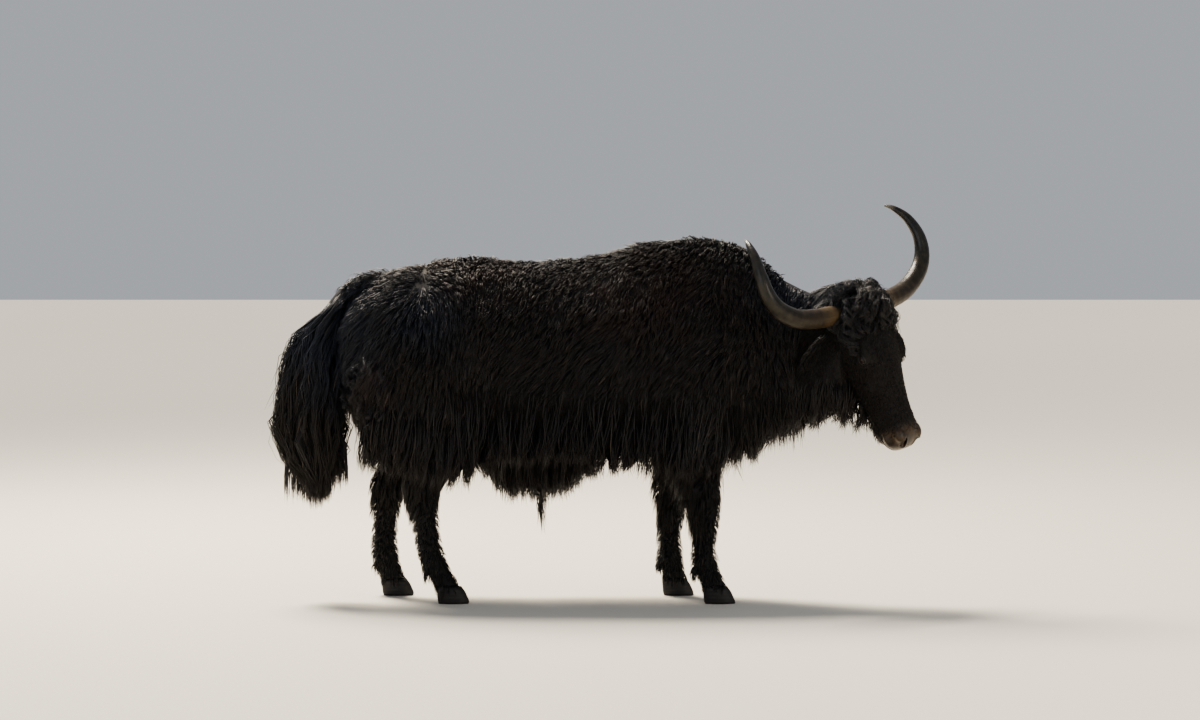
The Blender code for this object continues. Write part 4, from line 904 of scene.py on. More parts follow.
def tuft_mesh(name, paths, normals, width, flat, thin=0.6):
    """Closed, three-sided, tapered tufts along the paths, joined as one mesh."""
    count, steps = paths.shape[:2]
    rings = steps - 1
    ahead = np.empty_like(paths)
    ahead[:, 1:-1] = paths[:, 2:] - paths[:, :-2]
    ahead[:, 0] = paths[:, 1] - paths[:, 0]
    ahead[:, -1] = paths[:, -1] - paths[:, -2]
    ahead /= np.linalg.norm(ahead, axis=2)[:, :, None] + 1e-9
    side = np.cross(ahead, normals[:, None, :])
    side /= np.linalg.norm(side, axis=2)[:, :, None] + 1e-6
    rise = np.cross(side, ahead)
    share = np.arange(rings) / max(rings, 1)
    taper = 0.72 + 0.5 * share - 1.0 * share ** 2
    radius = width[:, None] * taper[None, :]
    sunk = paths[:, :rings].copy()
    sunk[:, 0] -= normals * 0.002
    corners = []
    for k in range(3):
        angle = math.pi / 2 + 2 * math.pi * k / 3
        corners.append(sunk + side[:, :rings] * (radius * math.cos(angle))[:, :, None]
                       + rise[:, :rings] * (radius * math.sin(angle) * thin)[:, :, None])
    body = np.stack(corners, axis=2).reshape(count, rings * 3, 3)
    body = np.concatenate([body, paths[:, -1:]], axis=1)
    each = rings * 3 + 1
    # side × ahead × rise turn left-handed here, so the faces run the other way round
    faces, patch = [[0, 1, 2]], [[(0.1, 0.0), (0.3, 0.0), (0.2, 0.1)]]
    for i in range(rings - 1):
        for k in range(3):
            a, b = 3 * i + k, 3 * i + (k + 1) % 3
            faces.append([b, a, a + 3, b + 3])
            patch.append([((k + 1) / 3, i / rings), (k / 3, i / rings),
                          (k / 3, (i + 1) / rings), ((k + 1) / 3, (i + 1) / rings)])
    for k in range(3):
        a, b = 3 * (rings - 1) + k, 3 * (rings - 1) + (k + 1) % 3
        faces.append([b, a, each - 1])
        patch.append([((k + 1) / 3, (rings - 1) / rings), (k / 3, (rings - 1) / rings),
                      ((k + 0.5) / 3, 1.0)])
    loop_list = np.array([v for face in faces for v in face])
    loop_uv = np.array([p for face in patch for p in face])
    sizes = np.array([len(face) for face in faces])
    mesh = bpy.data.meshes.new(name)
    mesh.vertices.add(count * each)
    mesh.vertices.foreach_set("co", body.reshape(-1).astype(np.float32))
    mesh.loops.add(count * len(loop_list))
    every = (np.arange(count)[:, None] * each + loop_list[None, :]).reshape(-1)
    mesh.loops.foreach_set("vertex_index", every.astype(np.int32))
    mesh.polygons.add(count * len(sizes))
    starts = np.concatenate([[0], np.cumsum(np.tile(sizes, count))[:-1]])
    mesh.polygons.foreach_set("loop_start", starts.astype(np.int32))
    mesh.update(calc_edges=True)
    layer = mesh.uv_layers.new(name="OFBake")
    places = (flat[:, None, :] + (loop_uv[None] - 0.5) * PATCH).reshape(-1)
    layer.data.foreach_set("uv", np.clip(places, 0.0, 1.0).astype(np.float32))
    one = np.concatenate([np.repeat(share, 3), [1.0]])
    store(mesh, "along", np.tile(one, count))
    store(mesh, "strand", np.repeat(chance.random(count), each))
    own = chance.random(count) * 90
    long = np.linalg.norm(np.diff(paths, axis=1), axis=2).sum(axis=1)
    turn = np.concatenate([np.tile([0.0, 1.0, 2.0], rings), [1.0]])
    combed = np.stack([turn[None, :] + own[:, None], one[None, :] * long[:, None] * 9,
                       np.repeat(own[:, None] * 1.7, each, axis=1)], axis=2)
    store(mesh, "comb", combed)
    mesh.shade_smooth()
    made = bpy.data.objects.new(name, mesh)
    bpy.context.scene.collection.objects.link(made)
    print(name, count, "tufts,", count * (sizes.sum() - 2 * len(sizes)), "triangles")
    return made


# %% [markdown]
# ## Coat of the trunk and the neck
# The outer coat of a bull is coarse and long and lies in loose locks. About ten thousand guides
# give the locks, each a little different in length and lift, and more than fifty thousand fine
# tufts run along with them. Hair is short over the hump and grows longer down the flank. On the
# rump it fans out from the point of the hip, and slow noise bends its way in matted patches.

# %% Trunk coat
HIP = Vector((-0.665, BODY_Y, 1.130))


def trunk_way(place, up):
    """Backwards and down, fanned out from the hip, and bent by noise in patches."""
    back = 0.62 if place.x < 0.45 else 0.30
    out = 1.0 if up.y > 0 else -1.0
    way = Vector((-back, 0.0, -1.0)) + Vector((0, 0.5 * out, 0)) * max(up.z, 0)
    fan = Vector((place.x - HIP.x, 0, place.z - HIP.z - 0.05))
    near = max(0.0, 1 - fan.length / 0.36)
    way += fan.normalized() * (1.6 * near)
    way += noise.noise_vector(place * 5.0) * 0.75
    return way + noise.noise_vector(place * 17.0) * 0.35


def trunk_guides(chosen, count, steps):
    """Guides that are short on the back and longer and looser down the flank."""
    roots, normals, flat = scatter(chosen, count)
    paths = []
    for root, normal in zip(roots, normals):
        low = min(1.0, max(0.0, (1.16 - root[2]) / 0.46))
        length = (0.062 + 0.090 * low) * chance.uniform(0.70, 1.30)
        patch = noise.noise(Vector(root) * 9.0)
        rise = max(0.006, 0.017 + 0.012 * low + 0.020 * patch + chance.uniform(-0.006, 0.008))
        paths.append(walked(root, normal, trunk_way, length, rise, steps))
    return np.array(paths)


coat = {}
TRUNK_GUIDES = 2600  # for each of the four parts
# name, side, from x, to x, tufts
TRUNK_PARTS = [
    ("coat_right_front", RIGHT, 0.08, 2.0, 17500),
    ("coat_right_rear", RIGHT, -2.0, 0.08, 18000),
    ("coat_left_front", LEFT, 0.08, 2.0, 10300),
    ("coat_left_rear", LEFT, -2.0, 0.08, 10700),
]
for name, side, first, last, count in TRUNK_PARTS:
    chosen = in_trunk & (side * (middles[:, 1] - BODY_Y) >= 0)
    chosen &= (middles[:, 0] >= first) & (middles[:, 0] < last)
    guides = trunk_guides(chosen, TRUNK_GUIDES, 2)
    roots, normals, flat = scatter(chosen, count)
    paths = follow(roots, guides, 0.50, 0.006, 0.45)
    width = chance.uniform(0.0016, 0.0031, count)
    coat[name] = tuft_mesh(name, paths, normals, width, flat)

# %% [markdown]
# ## The long fringe
# Along the lower flank, over the thighs, under the belly and under the throat hangs the yak's
# skirt. These locks start on the skin and fall free, and what matters is where their tips end,
# because the tips draw the outline. So each lock aims at a tip height read from a list along
# the body.

# %% Fringe sizes
# x, height of the tips, half width at the tips
SKIRT = np.array([
    (-0.800, 0.470, 0.235), (-0.700, 0.440, 0.262), (-0.560, 0.440, 0.275),
    (-0.470, 0.470, 0.285), (-0.410, 0.530, 0.288), (-0.200, 0.505, 0.298), (0.050, 0.505, 0.298),
    (0.200, 0.485, 0.285), (0.360, 0.450, 0.262), (0.460, 0.480, 0.225),
])
TUFT = np.array([
    (-0.400, 0.430, 0.030), (-0.375, 0.370, 0.060), (-0.290, 0.358, 0.075),
    (-0.200, 0.360, 0.075), (-0.120, 0.380, 0.065), (-0.060, 0.440, 0.030),
])
THROAT = np.array([
    (0.400, 0.510, 0.080), (0.480, 0.470, 0.110), (0.560, 0.530, 0.115),
    (0.660, 0.585, 0.105), (0.750, 0.645, 0.090), (0.830, 0.665, 0.075),
    (0.930, 0.640, 0.065), (1.000, 0.635, 0.050),
])
# root x and height, tip x, place across and height
LONG_LOCKS = ((-0.225, 0.600, -0.225, -0.02, 0.235), (-0.195, 0.600, -0.195, 0.03, 0.310),
              (-0.300, 0.600, -0.305, 0.0, 0.345), (-0.150, 0.600, -0.150, 0.0, 0.350),
              (0.470, 0.585, 0.528, -0.03, 0.384))


def at(rows, x, column):
    """A value of the list at a place between its rows."""
    return float(np.interp(x, rows[:, 0], rows[:, column]))


def throat_middle(x):
    """The middle plane, bent to the right under the throat."""
    return BODY_Y + NECK_BEND * np.maximum(0.0, x - 0.50)


def hung(root, normal, tip, steps, sway):
    """A guide that leaves the skin outwards and hangs down to its tip."""
    root, tip = np.array(root), np.array(tip)
    knee = root * 0.45 + tip * 0.55 + np.array(normal) * 0.022
    knee[2] = root[2] * 0.5 + tip[2] * 0.5
    t = np.linspace(0, 1, steps + 1)[:, None]
    path = root * (1 - t) ** 2 + knee * 2 * t * (1 - t) + tip * t ** 2
    bend = np.sin(t * 5.2 + chance.uniform(0, 6.3)) * t * 0.012
    return path + bend * np.array(sway)


def scraggy(x, seed):
    """A slow and a quick difference in height along the hem."""
    slow = noise.noise(Vector((x * 7.0, seed, 0.3)))
    return 0.045 * slow + 0.030 * noise.noise(Vector((x * 23.0, seed, 7.7)))


# %% [markdown]
# Each guide is a soft curve that leaves its root outwards and hangs down to its tip. How far it
# falls is read from the lists: one for the flank, one for the tuft under the belly and one for
# the throat. Five locks hang lower than their neighbours in the photograph, and they are placed
# one by one.

# %% Fringe guides
FALL = 4  # steps from a guide's root to its tip
fringe_paths = []
for side in (RIGHT, LEFT):
    chosen = in_trunk & (side * (middles[:, 1] - BODY_Y) > 0.10) & (middles[:, 2] < 0.92)
    chosen &= (middles[:, 0] > -0.87) & (middles[:, 0] < 0.50)
    roots, normals, flat = scatter(chosen, 760)
    for root, normal in zip(roots, normals):
        x = root[0] + chance.uniform(-0.06, 0.01)
        low = at(SKIRT, x, 1) + abs(chance.normal(0, 0.030)) - 0.014 + scraggy(x, side)
        tip_z = max(low, root[2] - chance.uniform(0.19, 0.30))
        share = min(1.0, (root[2] - tip_z) / max(0.02, root[2] - low))
        across = side * at(SKIRT, x, 2) * share + (root[1] - BODY_Y) * (1 - share)
        if abs(root[1] - BODY_Y) < 0.22:
            across *= chance.uniform(0.75, 1.0)
        fringe_paths.append(hung(root, normal, (x, BODY_Y + across, tip_z), FALL, (1, 0.4, 0)))
chosen = in_trunk & (middles[:, 2] < 0.66) & (np.abs(middles[:, 1] - BODY_Y) < 0.14)
chosen &= (middles[:, 0] > -0.42) & (middles[:, 0] < -0.05)
roots, normals, flat = scatter(chosen, 130)
for root, normal in zip(roots, normals):
    x = root[0] + chance.uniform(-0.02, 0.02)
    low = at(TUFT, x, 1) + abs(chance.normal(0, 0.024)) - 0.012
    across = (root[1] - BODY_Y) * at(TUFT, x, 2) / 0.14
    fringe_paths.append(hung(root, normal, (x, BODY_Y + across, low), FALL, (1, 0.4, 0)))
for root_x, root_z, tip_x, tip_y, tip_z in LONG_LOCKS:
    for k in range(5):
        aside = chance.uniform(-0.03, 0.03, 2)
        start = (root_x + aside[0], BODY_Y + tip_y + aside[1], root_z)
        end = (tip_x + aside[0] * 0.3, BODY_Y + tip_y, tip_z + 0.012 * k)
        fringe_paths.append(hung(start, (0, 0, -1), end, FALL, (1, 0.4, 0)))
under_jaw = in_head & ~in_ear & (head_raised < -0.075) & (head_along < 0.40)
chosen = (in_trunk & (middles[:, 0] > 0.40) & (middles[:, 2] < 0.88)) | under_jaw
roots, normals, flat = scatter(chosen, 640)
for root, normal in zip(roots, normals):
    x = root[0] + chance.uniform(-0.04, 0.02)
    low = at(THROAT, x, 1) + abs(chance.normal(0, 0.030)) - 0.012 + scraggy(x, 3.0)
    longest = chance.uniform(0.20, 0.34) if x > 0.80 else chance.uniform(0.15, 0.26)
    tip_z = min(root[2] - 0.02, max(low, root[2] - longest))
    middle = throat_middle(min(x, 0.95))
    across = (root[1] - middle) * at(THROAT, x, 2) / 0.15
    if x > 0.85:
        across = root[1] - middle
    fringe_paths.append(hung(root, normal, (x, middle + across, tip_z), FALL, (1, 0.4, 0)))
fringe_guides = np.array(fringe_paths)
print("fringe guides", len(fringe_guides))

# %% [markdown]
# The roots of the fringe sit densest low on the flank, at the tuft under the belly and under the
# throat. Each side is a mesh of its own, so that neither gets too heavy.

# %% Fringe
FRINGE_TUFTS = 6500  # on each side
depth = np.clip((0.92 - middles[:, 2]) / 0.26, 0.0, 1.0) ** 1.5
belly_tuft = (np.abs(middles[:, 1] - BODY_Y) < 0.14) & (middles[:, 2] < 0.64)
belly_tuft &= (middles[:, 0] > -0.42) & (middles[:, 0] < -0.05)
for name, side in (("fringe_right", RIGHT), ("fringe_left", LEFT)):
    chosen = (in_trunk & (middles[:, 0] > -0.88)) | under_jaw
    chosen &= side * (middles[:, 1] - throat_middle(middles[:, 0])) >= 0
    gullet = under_jaw | ((middles[:, 0] > 0.72) & (middles[:, 2] < 0.86))
    load = depth * (0.35 + (middles[:, 2] < 0.70)) + 2.6 * belly_tuft + 1.1 * gullet
    roots, normals, flat = scatter(chosen, FRINGE_TUFTS, load)
    paths = follow(roots, fringe_guides, 0.74, 0.009, 0.20)
    coat[name] = tuft_mesh(name, paths, normals, chance.uniform(0.0018, 0.0036, len(roots)), flat)

# %% [markdown]
# ## Tail
# A yak's tail is a brush of long hair like a horse's, full from the dock downwards. Every lock
# starts on the dock, swells outwards to the brush's own outline and then falls to its tip.

# %% Tail coat
# height, back and front x, half width
TAIL_COAT = [
    (1.155, -1.006, -0.920, 0.040), (1.090, -1.082, -0.920, 0.075),
    (1.000, -1.154, -0.920, 0.102), (0.910, -1.196, -0.920, 0.118),
    (0.820, -1.216, -0.920, 0.126), (0.686, -1.243, -0.925, 0.130),
    (0.597, -1.238, -0.938, 0.120), (0.537, -1.206, -0.955, 0.104),
    (0.477, -1.166, -0.975, 0.080), (0.425, -1.106, -0.995, 0.050),
    (0.365, -1.054, -1.022, 0.014),
]
brush = np.array(TAIL_COAT[::-1])


def in_brush(z, angle, share):
    """A point of the brush at a height, an angle round it and a share of its reach."""
    back, front, wide = (float(np.interp(z, brush[:, 0], brush[:, k])) for k in (1, 2, 3))
    return np.array(((back + front) / 2 + (front - back) / 2 * math.cos(angle) * share,
                     BODY_Y + wide * math.sin(angle) * share, z))


TAIL_STEPS = 5
TAIL_TUFTS = 5400
roots, normals, flat = scatter(in_tail, 420)
tail_paths = []
for root, normal in zip(roots, normals):
    angle = math.atan2(normal[1], normal[0]) + chance.uniform(-0.25, 0.25)
    tip_z = max(0.345, root[2] - chance.uniform(0.26, 0.60)) + abs(chance.normal(0, 0.022))
    share = chance.uniform(0.50, 1.04)
    sway = chance.uniform(0, 6.3)
    path = [np.array(root)]
    for k, z in enumerate(np.linspace(root[2], tip_z, TAIL_STEPS + 1)[1:], 1):
        part = min(1.0, k / 2.0)
        spot = np.array((root[0], root[1], z)) * (1 - part) + in_brush(z, angle, share) * part
        spot += np.array((1.0, 0.6, 0)) * (0.014 * math.sin(sway + 1.5 * k) * part)
        path.append(spot)
    tail_paths.append(np.array(path))
roots, normals, flat = scatter(in_tail, TAIL_TUFTS, 1.0 + 1.0 * (middles[:, 2] < 0.95))
paths = follow(roots, np.array(tail_paths), 0.84, 0.010, 0.30)
coat["tail_coat"] = tuft_mesh("tail_coat", paths, normals,
                              chance.uniform(0.0018, 0.0036, len(roots)), flat)

# %% [markdown]
# ## Wisps of the tail
# The brush frays at the bottom. Clumps of its longest hair hang straight down to different
# heights, some close to the thigh and some behind, and narrow the gap in front of the brush.

# %% Tail wisps
WISPS = 44
WISP_TUFTS = 1150
wisp_tips = []
for k in range(WISPS):
    x = -1.180 + 0.240 * (k + chance.uniform(0.1, 0.9)) / WISPS
    slope = 0.40 if x < -1.060 else 1.00
    z = 0.316 + slope * abs(x + 1.060) * chance.uniform(0.6, 1.1) + chance.uniform(0, 0.026)
    wisp_tips.append((x, BODY_Y + chance.uniform(-0.06, 0.06), z))
wisp_tips = np.array(wisp_tips)
roots, normals, flat = scatter(in_tail & (middles[:, 2] < 0.80), WISP_TUFTS)
middle_x = wisp_tips[:, 0].mean()
wanted = middle_x + (roots[:, 0] - middle_x) * 0.8 + chance.normal(0.016, 0.060, len(roots))
aims = wisp_tips[np.abs(wisp_tips[None, :, 0] - wanted[:, None]).argmin(axis=1)]
t = np.linspace(0, 1, TAIL_STEPS + 1)[None, :, None]
drop = roots[:, None, :] + (aims - roots)[:, None, :] * t
inward = np.minimum(1.0, t * 1.6) ** 0.8
level = roots[:, None, :2] + (aims - roots)[:, None, :2] * inward
paths = np.concatenate([level, drop[:, :, 2:]], axis=2)
phase = chance.random((len(roots), 1, 3)) * 2 * math.pi
paths = paths + np.sin(phase + 4.0 * t) * 0.006 * t
paths[:, -1, 2] += chance.uniform(0, 0.040, len(roots))
coat["tail_wisps"] = tuft_mesh("tail_wisps", paths, normals,
                               chance.uniform(0.0015, 0.0028, len(roots)), flat)

# %% [markdown]
# ## Coat of the legs
# Leg hair is a few centimetres long, longest near the trunk, and lies flat, so the tufts are
# small and many and run straight down to the hooves. Behind the forearm hangs a longer fringe,
# whose guides leave the skin instead of walking over it.

# %% Leg coat
def leg_way(place, up):
    """Straight down, a little backwards, with noise."""
    return Vector((-0.12, 0.0, -1.0)) + noise.noise_vector(place * 14.0) * 0.45


# height, how far the forearm's fringe stands behind the skin
FOREARM_FRINGE = np.array([(0.22, 0.012), (0.26, 0.022), (0.30, 0.034), (0.34, 0.054),
                           (0.38, 0.070), (0.45, 0.090), (0.52, 0.100)])


def leg_guide(root, normal):
    """Short hair in front, long fringes behind the forearm and the hock, tufts at the foot."""
    x, y, z = root
    if x > 0 and z > 0.29 and normal[0] < 0.10:
        tip_z = z - chance.uniform(0.070, 0.130)
        reach = at(FOREARM_FRINGE, tip_z, 1) * chance.uniform(0.25, 1.05)
        tip = np.array((x - reach, y + normal[1] * 0.012, tip_z))
        knee = np.array((x - reach * 0.75, y + normal[1] * 0.012, z - 0.030))
        return [tuple(root), tuple(knee), tuple(tip)]
    length, rise = 0.034, 0.017
    if z > 0.34:
        length += 0.040 * min(1.0, (z - 0.34) / 0.12)
    if normal[0] < -0.15 and z > 0.33:
        length += 0.020
        rise += 0.012
    if z < 0.175:
        length, rise = 0.036, 0.009
        if normal[0] < -0.2:
            rise = 0.017
    if z < 0.095:
        length, rise = 0.052, 0.006
    length *= chance.uniform(0.75, 1.25)
    return walked(root, normal, leg_way, length, rise * chance.uniform(0.7, 1.2), 2, hang=z < 0.3)


LEG_GUIDES, LEG_TUFTS = 2200, 13500
roots, normals, flat = scatter(in_legs & ~in_hoof, LEG_GUIDES)
leg_guides = np.array([leg_guide(root, normal) for root, normal in zip(roots, normals)])
roots, normals, flat = scatter(in_legs & ~in_hoof, LEG_TUFTS, 1.0 + 0.8 * (middles[:, 2] > 0.38))
paths = follow(roots, leg_guides, 0.40, 0.003, 0.35)
coat["leg_coat"] = tuft_mesh("leg_coat", paths, normals,
                             chance.uniform(0.0013, 0.0024, len(roots)), flat)

# %% [markdown]
# ## Coat of the face and the ears
# Face hair is the shortest, one or two centimetres on the nose and longer towards the brow and
# the jaw. It runs down the nose and back over the cheeks, and away from the eye on all sides, and
# thins out before the bare muzzle. On the ears it runs out to the tip and stands off their edges
# as a soft fringe.

# %% Face and ear coat
EAR_AXES = {side: ear_axes(side) for side in (RIGHT, LEFT)}


def face_way(place, up):
    """Towards the muzzle and back over the cheeks on the face, and to the tip on the ears."""
    for root, reach, face, wide in EAR_AXES.values():
        off = place - root
        past = off.dot(reach)
        if past > 0.006 and (off - reach * past).length < 0.055:
            return reach + (off - reach * past).normalized() * 0.35
    across = (place - POLL).dot(SIDEWAYS)
    centre, out, long, high = eye_axes(RIGHT if across < 0 else LEFT)
    from_lid = place - centre
    if from_lid.length < 0.040:
        return (from_lid - out * from_lid.dot(out)).normalized() + ALONG * 0.5
    way = ALONG * 0.8 - RAISED * 0.5 + SIDEWAYS * (0.25 if across > 0 else -0.25)
    return way + noise.noise_vector(place * 20.0) * 0.25


def near_eye(places):
    """Distance from a place, or from each of many, to the nearer eye's middle."""
    return np.min([np.linalg.norm(places - np.array(eye_axes(side)[0]), axis=-1)
                   for side in (RIGHT, LEFT)], axis=0)


FACE_GUIDES, FACE_TUFTS = 2400, 18000
from_eye = near_eye(middles)
lidded = np.clip((from_eye - 0.0225) / 0.003, 0, 1)
muzzle = np.clip((head_along - 0.455) / 0.055, 0, 1)
furred = in_head & (muzzle < 1) & (lidded > 0)
bare = np.where(furred, (1 - 0.85 * muzzle) * lidded, 0)
roots, normals, flat = scatter(furred, FACE_GUIDES, bare)
face_guides = []
for root, normal in zip(roots, normals):
    along = float((root - np.array(POLL)) @ np.array(ALONG))
    behind = float((root - np.array(POLL)) @ np.array(RAISED))
    length = 0.016 + 0.028 * min(1.0, max(0.0, (0.15 - along) / 0.15))
    length += 0.040 * min(1.0, max(0.0, (-behind - 0.10) / 0.08))
    length += 0.035 * min(1.0, max(0.0, (-along - 0.01) / 0.05))
    for ear_root, reach, face, wide in EAR_AXES.values():
        off = Vector(root) - ear_root
        past = off.dot(reach)
        if past > 0.006 and (off - reach * past).length < 0.055:
            length = 0.030
    length *= 0.40 + 0.60 * min(1.0, max(0.0, (near_eye(root) - 0.024) / 0.014))
    face_guides.append(walked(root, normal, face_way, length * chance.uniform(0.8, 1.25),
                              length * 0.16, 2))
roots, normals, flat = scatter(furred, FACE_TUFTS, bare * (1 + 0.6 * in_ear))
paths = follow(roots, np.array(face_guides), 0.12, 0.001, 0.35)
coat["face_coat"] = tuft_mesh("face_coat", paths, normals,
                              chance.uniform(0.0010, 0.0017, len(roots)), flat)

# %% [markdown]
# ## Lashes
# A yak's upper lid carries a dense row of long lashes that shades the eye from snow. They grow
# from the lid's edge, stand off it and droop, so each is one thin curved tuft on that edge.

# %% Lashes
LASHES = 46  # on each upper lid
lash_paths, lash_normals = [], []
for side in (RIGHT, LEFT):
    centre, out, long, high = eye_axes(side)
    for k in range(LASHES):
        u = LID_LONG * (-0.86 + 1.72 * (k + chance.uniform(-0.4, 0.4)) / (LASHES - 1))
        v = LID_HIGH * 1.06 * math.sqrt(max(0.0, 1 - (u / LID_LONG) ** 2))
        stand = EYE_RADIUS + LID_THICK - (u * u + v * v) / (2 * (EYE_RADIUS + LID_THICK))
        root = centre + long * u + high * v + out * (stand - 0.0006)
        reach = chance.uniform(0.009, 0.015)
        lean = long * (u * 14 + chance.uniform(-0.15, 0.15))
        lash_paths.append([tuple(root + (out * 0.9 + high * 0.35 + lean) * (reach * t)
                                 - high * (reach * 0.55 * t * t)) for t in (0, 0.35, 0.7, 1)])
        lash_normals.append(tuple(high))
lash_paths = np.array(lash_paths)
lash_flat = []
for path in lash_paths:
    index = surface_tree.find_nearest(Vector(path[0]))[2]
    lash_flat.append(flat_uv[index].mean(axis=0))
coat["lashes"] = tuft_mesh("lashes", lash_paths, np.array(lash_normals),
                           chance.uniform(0.0003, 0.0005, len(lash_paths)), np.array(lash_flat))

# %% [markdown]
# ## Forelock
# Between and below the horns sits a dense cushion of curls that hides the forehead. Each curl
# is a lock that winds half a turn or a whole one round its own way while it lies down towards
# the brow. One guide draws the curl, and fifteen fine tufts wind along with it.

# %% Forelock
FORELOCK_MIDDLE = (0.040, 0.0, 0.048)
EYE_CLEAR = 0.085  # no curl is rooted nearer to an eye than this
CURLS, CURL_TUFTS = 190, 15


def curl(root, out, way, length, coil, turns, start, steps):
    """A guide that winds round the way it lies, widest in its middle."""
    side = out.cross(way).normalized()
    path = []
    for k in range(steps + 1):
        t = k / steps
        angle = start + turns * 2 * math.pi * t ** 1.2
        wide = coil * (0.25 + 0.85 * math.sin(math.pi * min(1.0, 0.1 + 0.8 * t)))
        arch = 0.026 * math.sin(math.pi * min(1.0, t * 0.9))
        path.append(root + way * (length * t) + out * (arch + wide * (0.8 + math.sin(angle)))
                    + side * (math.cos(angle) * wide))
    return path


def wound(name, guide_paths, each, apart, wave):
    """Tufts that wind along with their curl's guide, gathered towards its tip, as one mesh."""
    count = len(guide_paths) * each
    roots = np.repeat(guide_paths[:, 0], each, axis=0) + chance.normal(0, apart, (count, 3))
    paths = np.repeat(guide_paths, each, axis=0)
    t = np.linspace(0, 1, paths.shape[1])[None, :, None]
    paths = paths + (roots - paths[:, 0])[:, None, :] * (1 - 0.55 * t)
    phase = chance.random((count, 1, 3)) * 2 * math.pi
    paths = paths + np.sin(phase + 4.5 * t) * wave * t
    places, outward = [], []
    for root in roots:
        near, normal, index, far = surface_tree.find_nearest(Vector(root))
        places.append(flat_uv[index].mean(axis=0))
        outward.append(tuple(normal))
    return tuft_mesh(name, paths, np.array(outward), chance.uniform(0.0010, 0.0018, count),
                     np.array(places))


curl_guides = []
centre = on_head(*FORELOCK_MIDDLE)
while len(curl_guides) < CURLS:
    tilt = math.radians(chance.uniform(-75, 46))
    spin = math.radians(chance.uniform(-112, 112))
    out = (ALONG * math.sin(tilt) + RAISED * math.cos(tilt) * math.cos(spin)
           + SIDEWAYS * math.sin(spin) * math.cos(tilt)).normalized()
    near, normal, index, far = surface_tree.ray_cast(centre + out * 0.4, -out)
    if near is None or ahead_of_neck(np.array([near]))[0] < -0.02:
        continue
    if near_eye(np.array(near)) < EYE_CLEAR:
        continue
    aside = 0.5 * math.sin(spin) + chance.uniform(-0.6, 0.6)
    down = ALONG * 0.9 - UPRIGHT * 0.4 + SIDEWAYS * aside
    way = (down - out * down.dot(out)).normalized()
    length = chance.uniform(0.055, 0.090)
    coil = chance.uniform(0.008, 0.015)
    turns = chance.choice((-1, 1)) * chance.uniform(0.5, 1.05)
    start = chance.uniform(0, 6.3)
    curl_guides.append(np.array(curl(near - way * 0.01, out, way, length, coil, turns, start, 10)))
print("curls", len(curl_guides))
coat["forelock"] = wound("forelock", np.array(curl_guides), CURL_TUFTS, 0.0065, 0.0032)

# %% [markdown]
# ## Matted curls on the thigh
# On the near thigh the winter wool has felted into reddish twisted locks. They are curls like
# the forelock's, rooted over one patch of the thigh and hanging down it.

# %% Matted thigh curls
MATS_MIDDLE = np.array((-0.875, 0.800))  # x and height
MATS_REACH = np.array((0.085, 0.105))
MATS, MAT_TUFTS = 34, 11
mat_guides = []
while len(mat_guides) < MATS:
    x, z = MATS_MIDDLE + MATS_REACH * chance.uniform(-1, 1, 2)
    near, normal, index, far = surface_tree.ray_cast(Vector((x, -1.0, z)), Vector((0, 1, 0)))
    if near is None or not in_trunk[index]:
        continue
    way = (Vector((chance.uniform(-0.5, 0.2), 0, -1)) - normal * -normal.z).normalized()
    mat_guides.append(np.array(curl(near, normal, way, chance.uniform(0.045, 0.085),
                                    chance.uniform(0.005, 0.009), chance.uniform(0.8, 1.8),
                                    chance.uniform(0, 6.3), 8)))
coat["thigh_mats"] = wound("thigh_mats", np.array(mat_guides), MAT_TUFTS, 0.0050, 0.0022)

# %% [markdown]
# ## Horns
# The horns leave the head level, turn up and then in and back, and taper to a point. A tube of
# known stations gives that, and each ring's radius carries the low ridges of yearly growth,
# strong at the base and gone towards the tip.

# %% Horns
# to the side, ahead, up, radius
HORN = [
    (0.098, 0.002, -0.0200, 0.0365), (0.150, 0.000, -0.0180, 0.0370),
    (0.224, -0.004, -0.0145, 0.0370), (0.322, -0.012, 0.0040, 0.0355),
    (0.410, -0.018, 0.0540, 0.0325), (0.452, -0.026, 0.1160, 0.0285),
    (0.460, -0.042, 0.1840, 0.0235), (0.445, -0.076, 0.2500, 0.0175),
    (0.422, -0.120, 0.2910, 0.0105), (0.404, -0.148, 0.3040, 0.0040),
]


def horn(name, side):
    """One horn, with its place along the horn and its fibres stored on the points."""
    rows = through(HORN, 9)
    path = [POLL + UPRIGHT.cross(AHEAD) * (row[0] * side) + AHEAD * row[1] + UPRIGHT * row[2]
            for row in rows]
    rings = []
    rise = Vector((0.3, -0.3, 0.9))
    for i, centre in enumerate(path):
        ahead = (path[min(i + 1, len(path) - 1)] - path[max(i - 1, 0)]).normalized()
        across = ahead.cross(rise).normalized()
        rise = across.cross(ahead).normalized()
        t = i / (len(path) - 1)
        radius = rows[i][3] + 0.0009 * math.sin(i * 1.9) * max(0.0, 1 - t * 1.6)
        rings.append([
            centre + across * (radius * math.cos(a)) + rise * (radius * math.sin(a))
            for a in (2 * math.pi * k / 28 for k in range(28))
        ])
    made = extruded(name, rings)
    made.data.shade_smooth()
    length = np.cumsum([0.0] + [(b - a).length for a, b in zip(path, path[1:])])
    middle_tree = kdtree.KDTree(len(path))
    for i, point in enumerate(path):
        middle_tree.insert(point, i)
    middle_tree.balance()
    shares, fibres = [], []
    for vertex in made.data.vertices:
        centre, i, far = middle_tree.find(vertex.co)
        shares.append(length[i] / length[-1])
        way = (vertex.co - centre).normalized() * 1.2
        fibres.append((way.x, way.y, way.z + length[i] * 1.1))
    store(made.data, "reach", shares)
    store(made.data, "fibre", fibres)
    return made


